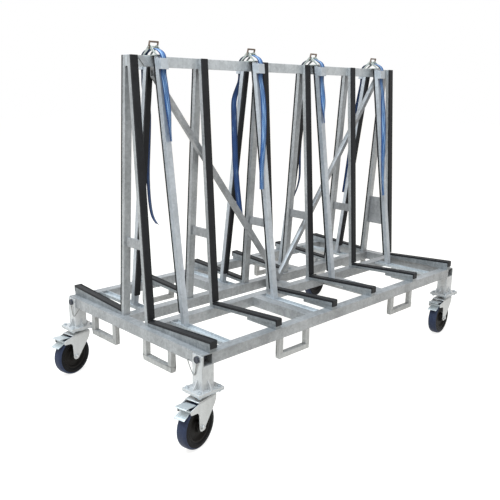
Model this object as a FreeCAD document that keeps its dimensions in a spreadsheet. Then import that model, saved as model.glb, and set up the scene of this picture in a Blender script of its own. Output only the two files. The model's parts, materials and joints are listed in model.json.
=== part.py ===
"""Glazing trolley: a two-sided leaning frame on four braked swivel castors.

X runs along the trolley, Y across it, Z up; the origin is on the floor under the middle.
Every size is a cell of the sheet "params", and every solid is bound to those cells.
"""
import FreeCAD, Part
import math
import os
import re
import Sketcher

V = FreeCAD.Vector
doc = FreeCAD.newDocument("glazing_trolley")
sheet = doc.addObject("Spreadsheet::Sheet", "params")

SIZES = [
    ("base_length", 2000, "base, outside to outside along X"),
    ("base_width", 1060, "base, outside to outside along Y"),
    ("deck_top", 402, "height of the upper face of every base beam"),
    ("beam_size", 50, "square tube of the base"),
    ("beam_wall", 3, "its wall"),
    ("inner_beam_offset", 95, "inner long beams, centre from the middle"),
    ("cross_offset", 290, "cross members, centre from the middle"),
    ("track_wide", 44, "pole track, outside"),
    ("track_deep", 16, "pole track, height"),
    ("track_wall", 3, "pole track, wall"),
    ("station_inset", 52, "end frames, centre from the end of the base"),
    ("station_mid", 562, "second frames"),
    ("station_inner", 163, "inner frames"),
    ("pole_inset_left", 174, "first clamping poles, centre from the left end of the base"),
    ("pole_inset_right", 207, "last clamping poles, centre from the right end of the base"),
    ("pole_inner", 237, "inner clamping poles, centre from the middle"),
    ("frame_top", 1576, "top of legs and rail"),
    ("leg_wide", 36, "leg tube along X"),
    ("leg_deep", 20, "leg tube along Y"),
    ("leg_wall", 2.5, "leg tube wall"),
    ("leg_foot_out", 105, "outer face of a leg at deck level, from the middle"),
    ("leg_top_out", 25, "outer face of a leg at the top"),
    ("rubber_thick", 10, "rubber facing of legs and support bars"),
    ("rubber_foot_rise", 28, "lower end of the leg rubber above the deck"),
    ("rail_high", 46, "top rail, height"),
    ("tie_rise", 338, "leg tie, underside above the deck"),
    ("tie_high", 42, "leg tie, height"),
    ("tie_thick", 16, "leg tie, thickness along X"),
    ("web_rise", 204, "web plate of the right end frame, underside above the deck"),
    ("web_high", 174, "web plate, height"),
    ("web_thick", 6, "web plate, thickness"),
    ("brace_deep", 25, "diagonal brace across Y"),
    ("brace_tall", 41, "diagonal brace, upright height of its cut end"),
    ("brace_wall", 2.5, "diagonal brace wall"),
    ("brace_inset", 165, "diagonal brace, upper end from the end of the base"),
    ("bar_wide", 36, "support bar along X"),
    ("bar_high", 14, "support bar, height"),
    ("bar_rise", 25, "rise of a support bar to its outer end"),
    ("riser_start", 150, "end riser, inner end from the middle"),
    ("haunch_start", 345, "haunch under the other bars, inner end"),
    ("haunch_wide", 30, "haunch along X"),
    ("cap_thick", 6, "rubber turned down over a bar end"),
    ("cap_high", 32, "its height"),
    ("hoop_wide", 206, "fork hoop, outside"),
    ("hoop_drop", 98, "fork hoop, depth under the beam"),
    ("hoop_bar", 25, "fork hoop section"),
    ("side_hoop_offset", 446, "hoops of the long sides, centre"),
    ("end_hoop_offset", 215, "hoops of the ends, centre"),
    ("post_size", 62, "castor post, square outside"),
    ("post_wall", 6, "castor post wall"),
    ("cheek_high", 44, "upstand of the post beside the end beam"),
    ("gusset_reach", 22, "post gusset on the plate"),
    ("gusset_high", 42, "post gusset up the post"),
    ("gusset_toe", 6, "post gusset, height of its toe"),
    ("gusset_thick", 6, "post gusset, thickness"),
    ("castor_over", 40, "castor plate's top above the wheel's top"),
    ("plate_long", 135, "castor plate along X"),
    ("plate_wide", 110, "castor plate along Y"),
    ("plate_thick", 6, "castor plate"),
    ("foot_plate_thick", 8, "plate welded under the post"),
    ("bolt_long", 105, "bolt spacing along X"),
    ("bolt_wide", 80, "bolt spacing along Y"),
    ("bolt_radius", 9, "bolt head, corner radius"),
    ("bolt_head_high", 7, "bolt head"),
    ("bolt_nut_high", 8, "nut under the plate"),
    ("turn_left", 12, "left castors turned away from straight, degrees"),
    ("turn_right", 6, "right castors turned away from straight, degrees"),
    ("trail", 52, "axle behind the swivel axis"),
    ("wheel_radius", 100, "wheel"),
    ("tread_wide", 32, "flat part of the tread"),
    ("shoulder_wide", 9, "tyre shoulder, each side"),
    ("shoulder_drop", 12, "tyre shoulder, radial"),
    ("core_radius", 68, "wheel centre, outside"),
    ("core_wide", 32, "wheel centre, width"),
    ("hub_radius", 24, "hub"),
    ("hub_wide", 60, "hub, width"),
    ("axle_radius", 6, "axle"),
    ("axle_play", 0.05, "running play around the axle"),
    ("nut_radius", 11, "axle nut, corner radius"),
    ("nut_high", 8, "axle nut"),
    ("race_radius", 38, "swivel head, upper ring"),
    ("race_high", 17, "swivel head, height"),
    ("race_ring_high", 8, "its straight upper ring"),
    ("race_foot", 30, "its radius at the crown"),
    ("swivel_gap", 0.05, "running play, race to plate"),
    ("crown_thick", 6, "fork crown"),
    ("fork_inside", 66, "between the fork legs"),
    ("fork_thick", 4, "fork leg"),
    ("fork_front", 42, "fork ahead of the swivel axis"),
    ("fork_neck", 74, "fork leg behind the swivel axis"),
    ("neck_under", 17, "underside of the horn at the leg, below the pedal's pivot"),
    ("shoulder_fall", 25, "front corner of a fork leg below the crown"),
    ("horn_over", 10, "horn tip behind the pedal's pivot"),
    ("horn_under", 11, "horn tip, lower corner below the pedal's pivot"),
    ("horn_above", 9, "horn tip, upper corner above the pedal's pivot"),
    ("toe_radius", 18, "rounded end of a fork leg about the axle"),
    ("pedal_gap", 5.25, "pedal barrel to the tread"),
    ("pedal_fall", 9, "pedal's pivot below the wheel's top"),
    ("pedal_barrel", 6, "pedal barrel, outside radius"),
    ("pedal_rod", 3, "rod between the horns that carries it"),
    ("pedal_long", 60, "pedal pivot length"),
    ("pedal_wide", 54, "lower tongue"),
    ("pedal_reach", 50, "lower tongue, reach along X"),
    ("pedal_drop", 22, "lower tongue, fall"),
    ("release_wide", 40, "upper tongue"),
    ("release_reach", 36, "upper tongue, reach along X"),
    ("release_rise", 12, "upper tongue, rise"),
    ("tongue_thick", 5, "both tongues"),
    ("lip_radius", 4, "rolled lip of both tongues"),
    ("pin_radius", 8, "locking pin"),
    ("pin_play", 0.6, "clearance around the locking pin"),
    ("pin_inside", 15, "pin end past the middle of the beam"),
    ("pin_head_radius", 15, "locking pin head"),
    ("pin_head_thick", 8, "locking pin head"),
    ("pin_head_gap", 1, "head to post"),
    ("wire_size", 3, "lanyard wire"),
    ("wire_gap", 0.6, "lanyard end to what it is fixed to"),
    ("wire_out", 3, "lanyard off the post face"),
    ("wire_drop", 72, "lanyard's lowest points below the beam's middle"),
    ("wire_first", 9, "lanyard's first low point, inwards of the pin"),
    ("wire_second", 29, "lanyard's second low point"),
    ("wire_reach", 68, "lanyard's fixed end, inwards of the pin"),
    ("wire_end_rise", 5, "lanyard's fixed end above the beam's underside"),
    ("pole_wide", 30, "clamping pole along X"),
    ("pole_deep", 24, "clamping pole along Y"),
    ("pole_wall", 2, "clamping pole wall"),
    ("pole_foot_gap", 1, "clamping pole's lower end above the deck"),
    ("pole_top_drop", 2, "clamping pole's upper end below the frame's top"),
    ("pole_foot_out", 211, "outer face of a pole at its foot"),
    ("pole_top_out", 50, "outer face of a pole at its top"),
    ("pole_rubber_thick", 12, "rubber on the inner face of a pole"),
    ("pole_rubber_wide", 28, "its width"),
    ("pole_rubber_lift", 48, "its lower end above the foot"),
    ("shoe_wide", 37, "pole shoe along X"),
    ("shoe_long", 20, "pole shoe along Y"),
    ("shoe_high", 13.5, "pole shoe height"),
    ("loop_wide", 40, "strap loop along X"),
    ("loop_deep", 26, "strap loop along Y"),
    ("loop_wall", 3, "strap loop wall"),
    ("loop_fall", 56, "strap loop, underside below the frame's top"),
    ("loop_high", 46, "strap loop, height"),
    ("strap_wide", 30, "webbing"),
    ("strap_thick", 2, "webbing, thickness"),
    ("strap_end_out", 14, "webbing at the spool, from the middle"),
    ("strap_end_rise", 31, "its height there above the frame's top"),
    ("strap_brow_out", 46, "webbing where it starts to bend down"),
    ("strap_brow_rise", 25, "its height there above the frame's top"),
    ("strap_knee_out", 72.8, "webbing at the knee"),
    ("strap_knee_rise", 1, "its height there above the frame's top"),
    ("strap_loop_out", 72.8, "webbing in the loop"),
    ("strap_loop_fall", 31, "its height there below the frame's top"),
    ("strap_rest_out", 70, "webbing under the loop"),
    ("strap_rest_fall", 76, "its height there below the frame's top"),
    ("buckle_wide", 40, "buckle along X"),
    ("buckle_long", 104, "buckle along Y"),
    ("buckle_base", 4, "buckle base plate"),
    ("buckle_plate", 3, "buckle side plate"),
    ("buckle_arm", 10, "buckle side plate, foot of an arm"),
    ("buckle_arch", 28, "open height under the side plates"),
    ("buckle_crown", 40, "height of the side plates"),
    ("buckle_crown_half", 10, "half of their upper edge"),
    ("spool_radius", 5, "buckle spool"),
    ("spool_slot", 2.6, "slot in the spool for the webbing"),
    ("tooth_tip", 9, "ratchet wheel, tip of a tooth"),
    ("tooth_root", 7.2, "ratchet wheel, root of a tooth"),
    ("tooth_thick", 3, "ratchet wheel, thickness"),
    ("pawl_out", 11, "pawl, tip from the middle"),
    ("pawl_long", 7, "pawl, length"),
    ("pawl_thick", 3, "pawl, thickness"),
    ("pawl_lift", 29.5, "pawl above the base plate"),
    ("spool_lift", 33, "spool above the base plate"),
    ("handle_plate", 3, "handle side plate"),
    ("handle_gap", 1, "handle to side plate"),
    ("handle_deep", 9, "handle side plate along Y"),
    ("handle_rise", 22, "handle, pivot to grip"),
    ("handle_lean", 6, "handle, grip ahead of the pivot"),
    ("grip_radius", 4, "handle grip"),
    ("stub_radius", 3.5, "handle pivot"),
    ("handle_drop", 7, "handle side plate below the pivot"),
]
NAMES = set()
for row, (alias, value, note) in enumerate(SIZES, start=1):
    sheet.set("A%d" % row, alias)
    sheet.set("B%d" % row, str(value))
    sheet.set("C%d" % row, note)
    sheet.setAlias("B%d" % row, alias)
    NAMES.add(alias)
doc.recompute()

# Lean of legs and poles, slope of bars and braces: each worked out from two sizes.
LEG_LEAN = "((leg_foot_out-leg_top_out)/(frame_top-deck_top))"
POLE_FOOT = "(deck_top+pole_foot_gap)"
POLE_TOP = "(frame_top-pole_top_drop)"
POLE_LEAN = "((pole_foot_out-pole_top_out)/(frame_top-pole_top_drop-deck_top-pole_foot_gap))"
STATION_END = "(base_length/2-station_inset)"
BRACE_REACH = "(base_length/2-brace_inset)"
BAR_RUN = "(base_width/2-leg_foot_out)"
BAR_SLOPE = "(bar_rise/(base_width/2-leg_foot_out))"
BRACE_SLOPE = "((frame_top-rail_high-brace_tall-deck_top)/(base_length/2-brace_inset))"
BEAM_LOW = "(deck_top-beam_size)"
CASTOR_HIGH = "(2*wheel_radius+castor_over)"
PEDAL_PIVOT = "(2*wheel_radius-pedal_fall)"
PEDAL_RING = "(wheel_radius+pedal_barrel+pedal_gap)"
PEDAL_BACK = "(trail+sqrt(%s^2-(wheel_radius-pedal_fall)^2))" % PEDAL_RING
SIDES = (("front", 0), ("rear", 180))


def bind(obj, prop, text):
    """Bind a property to an expression; sheet names get their sheet's name in front."""
    full = re.sub(r"[a-z_]+", lambda m: "params." + m.group() if m.group() in NAMES else m.group(), text)
    obj.setExpression(prop, full)


def place(obj, x="0", y="0", z="0", yaw=0):
    """Bind a position; a turn about Z is a plain angle, or the name of one in the sheet."""
    if yaw in NAMES:
        bind(obj, "Placement.Rotation.Yaw", yaw)
    elif yaw:
        obj.Placement = FreeCAD.Placement(V(0, 0, 0), FreeCAD.Rotation(V(0, 0, 1), yaw))
    for axis, text in (("x", x), ("y", y), ("z", z)):
        bind(obj, "Placement.Base." + axis, text)
    return obj


def box(name, x, y, z, along_x, along_y, along_z):
    """Box from its lowest corner."""
    obj = doc.addObject("Part::Box", name)
    bind(obj, "Length", along_x)
    bind(obj, "Width", along_y)
    bind(obj, "Height", along_z)
    return place(obj, x, y, z)


def turned(obj, axis):
    """Lay a primitive that stands along Z along X or Y."""
    turn = {"x": (V(0, 1, 0), 90), "y": (V(1, 0, 0), -90), "back": (V(1, 0, 0), 90), "z": (V(0, 0, 1), 0)}
    obj.Placement = FreeCAD.Placement(V(0, 0, 0), FreeCAD.Rotation(*turn[axis]))
    return obj


def drum(name, radius, length, x, y, z, axis):
    """Cylinder along an axis, from its lower end."""
    obj = turned(doc.addObject("Part::Cylinder", name), axis)
    bind(obj, "Radius", radius)
    bind(obj, "Height", length)
    return place(obj, x, y, z)


def cone(name, start, end, length, x, y, z, axis):
    """Cone frustum along an axis, from its first end."""
    obj = turned(doc.addObject("Part::Cone", name), axis)
    bind(obj, "Radius1", start)
    bind(obj, "Radius2", end)
    bind(obj, "Height", length)
    return place(obj, x, y, z)


def hexagon(name, radius, length, x, y, z, axis):
    """Six-sided head or nut."""
    obj = turned(doc.addObject("Part::Prism", name), axis)
    obj.Polygon = 6
    bind(obj, "Circumradius", radius)
    bind(obj, "Height", length)
    return place(obj, x, y, z)


def ramp(name, wide, run, low, high, x, y, z, yaw=0):
    """Block whose height goes from low to high along its own Y."""
    obj = doc.addObject("Part::Wedge", name)
    cells = (("Xmin", "-(%s)/2" % wide), ("Xmax", "(%s)/2" % wide), ("X2min", "-(%s)/2" % wide),
             ("X2max", "(%s)/2" % wide), ("Ymin", "0"), ("Ymax", run), ("Zmin", "0"), ("Zmax", low),
             ("Z2min", "0"), ("Z2max", high))
    for prop, text in cells:
        bind(obj, prop, text)
    return place(obj, x, y, z, yaw)


def taper(name, along_x, high, low_half, top_half, x, z):
    """Upright plate across Y whose half width goes from low_half to top_half."""
    obj = turned(doc.addObject("Part::Wedge", name), "back")
    cells = (("Xmin", "-(%s)/2" % along_x), ("Xmax", "(%s)/2" % along_x), ("X2min", "-(%s)/2" % along_x),
             ("X2max", "(%s)/2" % along_x), ("Ymin", "0"), ("Ymax", high), ("Zmin", "-(%s)" % low_half),
             ("Zmax", low_half), ("Z2min", "-(%s)" % top_half), ("Z2max", top_half))
    for prop, text in cells:
        bind(obj, prop, text)
    return place(obj, x, "0", z)


PLANES = {"XY": (V(0, 0, 1), 0), "XZ": (V(1, 0, 0), 90), "YZ": (V(1, 1, 1), 120)}


def outline(sketch, first, corners):
    """Closed outline in a sketch, each corner bound to two expressions."""
    count = len(corners)
    guess = [V(*[float(sheet_value(t)) for t in corner], 0) for corner in corners]
    for i in range(count):
        sketch.addGeometry(Part.LineSegment(guess[i], guess[(i + 1) % count]), False)
    for i in range(count):
        sketch.addConstraint(Sketcher.Constraint("Coincident", first + i, 2, first + (i + 1) % count, 1))
    for i, corner in enumerate(corners):
        measures = (("DistanceX", corner[0], guess[i].x), ("DistanceY", corner[1], guess[i].y))
        for kind, text, value in measures:
            made = sketch.addConstraint(Sketcher.Constraint(kind, -1, 1, first + i, 1, value))
            label = "%s_%d" % (kind, first + i)
            sketch.renameConstraint(made, label)
            bind(sketch, "Constraints." + label, text)
    return first + count


def sheet_value(text):
    """Value of an expression now, read back through a scratch cell of the sheet."""
    sheet.set("E1", "=" + text)
    sheet.recompute()
    value = sheet.get("E1")
    sheet.clear("E1")
    return value


def section(name, wide, deep, wall=None, plane="XY"):
    """Rectangle about the origin, with a second one inside it for a tube."""
    sketch = doc.addObject("Sketcher::SketchObject", name)
    sketch.Placement = FreeCAD.Placement(V(0, 0, 0), FreeCAD.Rotation(*PLANES[plane]))
    first = 0
    for inset in ("0",) if wall is None else ("0", wall):
        half_x = "((%s)/2-(%s))" % (wide, inset)
        half_y = "((%s)/2-(%s))" % (deep, inset)
        first = outline(sketch, first, [("-" + half_x, "-" + half_y), (half_x, "-" + half_y),
                                        (half_x, half_y), ("-" + half_x, half_y)])
    return sketch


def shape(name, corners, plane):
    """Sketch of one closed outline."""
    sketch = doc.addObject("Sketcher::SketchObject", name)
    sketch.Placement = FreeCAD.Placement(V(0, 0, 0), FreeCAD.Rotation(*PLANES[plane]))
    outline(sketch, 0, corners)
    return sketch


def sweep(name, profile, run, length, x="0", y="0", z="0"):
    """Extrude a section along a direction; length is measured along the run's unit axis."""
    obj = doc.addObject("Part::Extrusion", name)
    obj.Base = profile
    obj.DirMode = "Custom"
    obj.Dir = V(1, 1, 1)
    obj.Solid = True
    for axis, text in zip("xyz", run):
        bind(obj, "Dir." + axis, text)
    square = "+".join("(%s)^2" % text for text in run)
    bind(obj, "LengthFwd", "(%s)*sqrt(%s)" % (length, square))
    return place(obj, x, y, z)


def join(name, kids, x="0", y="0", z="0", yaw=0):
    """Several solids kept apart in one group, moved as a whole."""
    obj = doc.addObject("Part::Compound", name)
    obj.Links = kids
    return place(obj, x, y, z, yaw)


def less(name, base, tools):
    """Base with the tools taken away."""
    obj = doc.addObject("Part::Cut", name)
    obj.Base = base
    obj.Tool = tools[0] if len(tools) == 1 else join(name + "_tools", tools)
    return obj


def fused(name, kids):
    """Solids made into one."""
    obj = doc.addObject("Part::MultiFuse", name)
    obj.Shapes = kids
    return obj


NODES = []


def node(label, kids, **where):
    """One named subcomponent, written to its own file."""
    obj = join(label, kids, **where)
    obj.Label = label
    NODES.append(obj)
    return obj


def both(label, kids):
    """A named subcomponent of a set at the front and the same set turned to the rear."""
    front = join(label + "_front_set", kids)
    rear = join(label + "_rear_set", [front], yaw=180)
    return node(label, [front, rear])


def rounded(route):
    """Straight runs along a route joined by tangent arcs, as large as the shorter run allows."""
    edges = []
    radii = []
    start = route[0]
    for before, at, after in zip(route, route[1:], route[2:]):
        back = (before - at).normalize()
        ahead = (after - at).normalize()
        middle = (back + ahead).normalize()
        reach = RUN_SHARE * min(before.distanceToPoint(at), at.distanceToPoint(after))
        half = back.getAngle(ahead) / 2
        radius = reach * math.tan(half)
        top = at + middle * (radius / math.sin(half) - radius)
        edges.append(Part.LineSegment(start, at + back * reach).toShape())
        edges.append(Part.Arc(at + back * reach, top, at + ahead * reach).toShape())
        start = at + ahead * reach
        radii.append(radius)
    edges.append(Part.LineSegment(start, route[-1]).toShape())
    return Part.Wire(edges), min(radii)


def swept(name, route, profile):
    """Solid of a closed profile drawn along a rounded route."""
    path, least = rounded(route)
    obj = doc.addObject("Part::Feature", name)
    obj.Shape = path.makePipeShell([profile], True, False)
    section_area = Part.Face(profile).Area
    print("%s: length %.0f, least radius %.1f, volume over section times length %.4f" % (
        name, path.Length, least, obj.Shape.Volume / (section_area * path.Length)))
    return obj


RUN_SHARE = 0.45
STATIONS = (("first", "-" + STATION_END), ("second", "-station_mid"), ("third", "-station_inner"),
            ("fourth", "station_inner"), ("fifth", "station_mid"), ("sixth", STATION_END))
POLES = (("a", "-(base_length/2-pole_inset_left)"), ("b", "-pole_inner"), ("c", "pole_inner"),
         ("d", "(base_length/2-pole_inset_right)"))

# Base beams. The end beams run through with open ends and carry the locking pin holes;
# the long beams stand between them, and short cross members tie the inner beams outwards.
ring_across = section("beam_ring_across", "beam_size", "beam_size", "beam_wall", "XZ")
ring_along = section("beam_ring_along", "beam_size", "beam_size", "beam_wall", "YZ")
end_tube = sweep("end_tube", ring_across, ("0", "1", "0"), "base_width", y="-base_width/2")
pin_holes = []
for tag, sign in (("near", "-"), ("far", "")):
    pin_holes.append(drum("pin_hole_" + tag, "pin_radius+pin_play", "beam_size", "-beam_size",
                          "%s(base_width-post_size)/2" % sign, "0", "x"))
end_drilled = less("end_drilled", end_tube, pin_holes)
end_left = join("end_left", [end_drilled], x="-(base_length-beam_size)/2", z="deck_top-beam_size/2")
node("end_beams", [end_left, join("end_right", [end_left], yaw=180)])

LONG_RUN = "(base_length-2*beam_size)"
BEAM_MID = "(deck_top-beam_size/2)"
side_tube = sweep("side_tube", ring_along, ("1", "0", "0"), LONG_RUN, "-%s/2" % LONG_RUN,
                  "-(base_width-beam_size)/2", BEAM_MID)
both("side_beams", [side_tube])
inner_tube = sweep("inner_tube", ring_along, ("1", "0", "0"), LONG_RUN, "-%s/2" % LONG_RUN,
                   "-inner_beam_offset", BEAM_MID)
both("inner_beams", [inner_tube])

CROSS_IN = "(inner_beam_offset+beam_size/2)"
CROSS_RUN = "(base_width/2-beam_size-inner_beam_offset-beam_size/2)"
MIDDLE_RUN = "(2*inner_beam_offset-beam_size)"
crosses = []
for tag, sign in (("left", "-"), ("right", "")):
    crosses.append(sweep("cross_" + tag, ring_across, ("0", "-1", "0"), CROSS_RUN,
                         sign + "cross_offset", "-" + CROSS_IN, BEAM_MID))
crosses_rear = join("crosses_rear", crosses, yaw=180)
middle = sweep("cross_middle", ring_across, ("0", "1", "0"), MIDDLE_RUN, "0", "-%s/2" % MIDDLE_RUN,
               BEAM_MID)
node("cross_members", crosses + [crosses_rear, middle])

# Pole tracks: open channels let in level with the deck, one under each clamping pole.
track_full = box("track_full", "-track_wide/2", "-%s-%s" % (CROSS_IN, CROSS_RUN), "deck_top-track_deep",
                 "track_wide", CROSS_RUN, "track_deep")
track_hollow = box("track_hollow", "-track_wide/2+track_wall", "-%s-%s" % (CROSS_IN, CROSS_RUN),
                   "deck_top-track_deep+track_wall", "track_wide-2*track_wall", CROSS_RUN, "track_deep")
track = less("track", track_full, [track_hollow])
tracks = []
for side, yaw in SIDES:
    for tag, x in POLES:
        tracks.append(join("track_%s_%s" % (side, tag), [track], x=x, yaw=yaw))
node("pole_tracks", tracks)

# Support bars slope up to the outside on risers, with a rubber strip turned down over each end.
bar_section = section("bar_section", "bar_wide", "bar_high", plane="XZ")
strip_section = section("strip_section", "bar_wide", "rubber_thick", plane="XZ")
OUTWARD = ("0", "-1", BAR_SLOPE)
bars = []
strips = []
for tag, x in STATIONS:
    start, wide = "haunch_start", "haunch_wide"
    if tag in ("first", "sixth"):
        start, wide = "riser_start", "bar_wide"
    bars.append(sweep("bar_" + tag, bar_section, OUTWARD, BAR_RUN, x, "-leg_foot_out",
                      "deck_top+bar_high/2"))
    bars.append(ramp("riser_" + tag, wide, "base_width/2-%s" % start,
                     "(%s-leg_foot_out)*%s" % (start, BAR_SLOPE), "bar_rise", x, "-%s" % start,
                     "deck_top", yaw=180))
    strips.append(sweep("strip_" + tag, strip_section, OUTWARD, BAR_RUN, x, "-leg_foot_out",
                        "deck_top+bar_high+rubber_thick/2"))
    strips.append(box("strip_cap_" + tag, "%s-bar_wide/2" % x, "-base_width/2-cap_thick",
                      "deck_top+bar_high+rubber_thick+bar_rise-cap_high",
                      "bar_wide", "cap_thick", "cap_high"))
both("support_bars", bars)
both("support_rubbers", strips)

# Legs lean in to the top rail and are faced with rubber on the outside.
RUBBER_FOOT = "(deck_top+rubber_foot_rise)"
leg_ring = section("leg_ring", "leg_wide", "leg_deep", "leg_wall")
facing = section("leg_facing", "leg_wide", "rubber_thick")
legs = []
facings = []
for tag, x in STATIONS:
    legs.append(sweep("leg_" + tag, leg_ring, ("0", LEG_LEAN, "1"), "frame_top-deck_top", x,
                      "-(leg_foot_out-leg_deep/2)", "deck_top"))
    facings.append(sweep("leg_facing_" + tag, facing, ("0", LEG_LEAN, "1"), "frame_top-" + RUBBER_FOOT, x,
                         "-(leg_foot_out-%s*rubber_foot_rise+rubber_thick/2)" % LEG_LEAN, RUBBER_FOOT))
both("legs", legs)
both("leg_rubbers", facings)


def leg_inside(height):
    """Distance of a leg's inner face from the middle at a height."""
    return "(leg_foot_out-leg_deep-%s*((%s)-deck_top))" % (LEG_LEAN, height)


rail = taper("rail", "2*%s+leg_wide" % STATION_END, "rail_high", leg_inside("frame_top-rail_high"),
             leg_inside("frame_top"), "0", "frame_top-rail_high")
node("top_rail", [rail])

# Ties between the legs of a pair, a deeper web at the right end, and the two long diagonals.
TIE_LOW = "(deck_top+tie_rise)"
WEB_LOW = "(deck_top+web_rise)"
ties = []
for tag, x in STATIONS[:5]:
    ties.append(taper("tie_" + tag, "tie_thick", "tie_high", leg_inside(TIE_LOW),
                      leg_inside(TIE_LOW + "+tie_high"), x, TIE_LOW))
ties.append(taper("tie_web", "web_thick", "web_high", leg_inside(WEB_LOW),
                  leg_inside(WEB_LOW + "+web_high"), STATION_END, WEB_LOW))
brace_ring = section("brace_ring", "brace_deep", "brace_tall", "brace_wall", "YZ")
brace = sweep("brace_left", brace_ring, ("-1", "0", BRACE_SLOPE), BRACE_REACH, "0", "0",
              "deck_top+brace_tall/2")
node("braces", ties + [brace, join("brace_right", [brace], yaw=180)])

# Fork hoops: a deep U under each half of every side.
HOOP_LOW = "(deck_top-beam_size-hoop_drop)"
hoop = [box("hoop_foot", "-hoop_wide/2", "0", HOOP_LOW, "hoop_wide", "hoop_bar", "hoop_bar")]
for tag, x in (("left", "-hoop_wide/2"), ("right", "hoop_wide/2-hoop_bar")):
    hoop.append(box("hoop_upright_" + tag, x, "0", HOOP_LOW + "+hoop_bar", "hoop_bar", "hoop_bar",
                    "hoop_drop-hoop_bar"))
hoops = [join("hoop_side_left", hoop, x="-side_hoop_offset", y="-base_width/2"),
         join("hoop_side_right", hoop, x="side_hoop_offset", y="-base_width/2"),
         join("hoop_end_near", hoop, x="-base_length/2", y="-end_hoop_offset", yaw=-90),
         join("hoop_end_far", hoop, x="-base_length/2", y="end_hoop_offset", yaw=-90)]
both("fork_hoops", hoops)

# Castor posts: square tube with gussets, a foot plate, and an upstand beside the end beam.
PLATE_TOP = "(%s+foot_plate_thick)" % CASTOR_HIGH
post_ring = section("post_ring", "post_size", "post_size", "post_wall")
post = [sweep("post_tube", post_ring, ("0", "0", "1"), "%s-%s" % (BEAM_LOW, PLATE_TOP), z=PLATE_TOP)]
cheek = box("cheek", "-post_size/2", "-post_size/2", BEAM_LOW, "(post_size-beam_size)/2", "post_size",
            "cheek_high")
cheek_hole = drum("cheek_hole", "pin_radius+pin_play", "post_size", "-post_size", "0", BEAM_MID, "x")
post.append(less("cheek_drilled", cheek, [cheek_hole]))
post.append(box("foot_plate", "-plate_long/2", "-plate_wide/2", CASTOR_HIGH, "plate_long", "plate_wide",
                "foot_plate_thick"))
gusset = ramp("gusset", "gusset_thick", "gusset_reach", "gusset_toe", "gusset_high", "0",
              "-(post_size/2+gusset_reach)", PLATE_TOP)
for tag, yaw in (("near", 0), ("right", 90), ("far", 180), ("left", -90)):
    post.append(join("gusset_" + tag, [gusset], yaw=yaw))
CORNERS = (("front_left", "-", "-", 0), ("rear_left", "-", "", 0), ("front_right", "", "-", 180),
           ("rear_right", "", "", 180))
CASTOR_X = "(base_length-beam_size)/2"
CASTOR_Y = "(base_width-post_size)/2"
posts = []
for tag, sx, sy, yaw in CORNERS:
    posts.append(join("post_" + tag, post, x=sx + CASTOR_X, y=sy + CASTOR_Y, yaw=yaw))
node("castor_posts", posts)

# Castor plates with their bolt heads and nuts.
PLATE_LOW = "(%s-plate_thick)" % CASTOR_HIGH
plate = [box("castor_plate", "-plate_long/2", "-plate_wide/2", PLATE_LOW, "plate_long", "plate_wide",
             "plate_thick")]
for tag, sx, sy, yaw in CORNERS:
    bolt_x, bolt_y = sx + "bolt_long/2", sy + "bolt_wide/2"
    plate.append(hexagon("bolt_head_" + tag, "bolt_radius", "bolt_head_high", bolt_x, bolt_y,
                         PLATE_TOP, "z"))
    plate.append(hexagon("bolt_nut_" + tag, "bolt_radius", "bolt_nut_high", bolt_x, bolt_y,
                         PLATE_LOW + "-bolt_nut_high", "z"))
plates = []
for tag, sx, sy, yaw in CORNERS:
    plates.append(join("plate_" + tag, plate, x=sx + CASTOR_X, y=sy + CASTOR_Y))
node("castor_plates", plates)


def ratchet_wheel(name):
    """Saw-toothed disc square to X about the origin."""
    corners = []
    for tooth in range(TOOTH_COUNT):
        angle = 2 * math.pi * tooth / TOOTH_COUNT
        for radius in (sheet.get("tooth_tip"), sheet.get("tooth_root")):
            corners.append(V(0, radius * math.cos(angle), radius * math.sin(angle)))
    obj = doc.addObject("Part::Feature", name)
    disc = Part.Face(Part.makePolygon(corners + corners[:1]))
    obj.Shape = disc.extrude(V(sheet.get("tooth_thick"), 0, 0))
    return obj


# Buckles on the top rail: base plate, two arched side plates, and between them a split spool
# for the webbing, two saw-toothed wheels and the pawl; outside them the handle's pivots.
TOOTH_COUNT = 12
BUCKLE_TOP = "(frame_top+buckle_base)"
PIVOT_Z = "(frame_top+buckle_base+spool_lift)"
INSIDE = "(buckle_wide/2-buckle_plate)"
SPOOL_HALF = "(buckle_wide/2-buckle_plate-tooth_thick)"
CROWN = BUCKLE_TOP + "+buckle_crown"
arch = shape("buckle_arch_outline", [
    ("-buckle_long/2", BUCKLE_TOP), ("-buckle_long/2+buckle_arm", BUCKLE_TOP),
    ("0", BUCKLE_TOP + "+buckle_arch"), ("buckle_long/2-buckle_arm", BUCKLE_TOP),
    ("buckle_long/2", BUCKLE_TOP), ("buckle_crown_half", CROWN), ("-buckle_crown_half", CROWN)], "YZ")
spool_round = drum("spool_round", "spool_radius", "2*" + SPOOL_HALF, "-" + SPOOL_HALF, "0", PIVOT_Z, "x")
spool_gap = box("spool_gap", "-" + SPOOL_HALF, "-spool_radius", PIVOT_Z + "-spool_slot/2",
                "2*" + SPOOL_HALF, "2*spool_radius", "spool_slot")
toothed = ratchet_wheel("toothed")
buckle = [box("buckle_base_plate", "-buckle_wide/2", "-buckle_long/2", "frame_top", "buckle_wide",
              "buckle_long", "buckle_base"),
          less("spool", spool_round, [spool_gap]),
          box("pawl", "-" + INSIDE, "pawl_out", BUCKLE_TOP + "+pawl_lift", "2*" + INSIDE, "pawl_long",
              "pawl_thick"),
          join("toothed_left", [toothed], x="-" + INSIDE, z=PIVOT_Z),
          join("toothed_right", [toothed], x=SPOOL_HALF, z=PIVOT_Z)]
STUB = "(handle_gap+handle_plate)"
BUCKLE_ENDS = (("left", "-buckle_wide/2", "-buckle_wide/2-" + STUB), ("right", INSIDE, "buckle_wide/2"))
for tag, x, stub in BUCKLE_ENDS:
    buckle.append(sweep("buckle_side_" + tag, arch, ("1", "0", "0"), "buckle_plate", x))
    buckle.append(drum("stub_" + tag, "stub_radius", STUB, stub, "0", PIVOT_Z, "x"))
buckles = []
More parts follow.
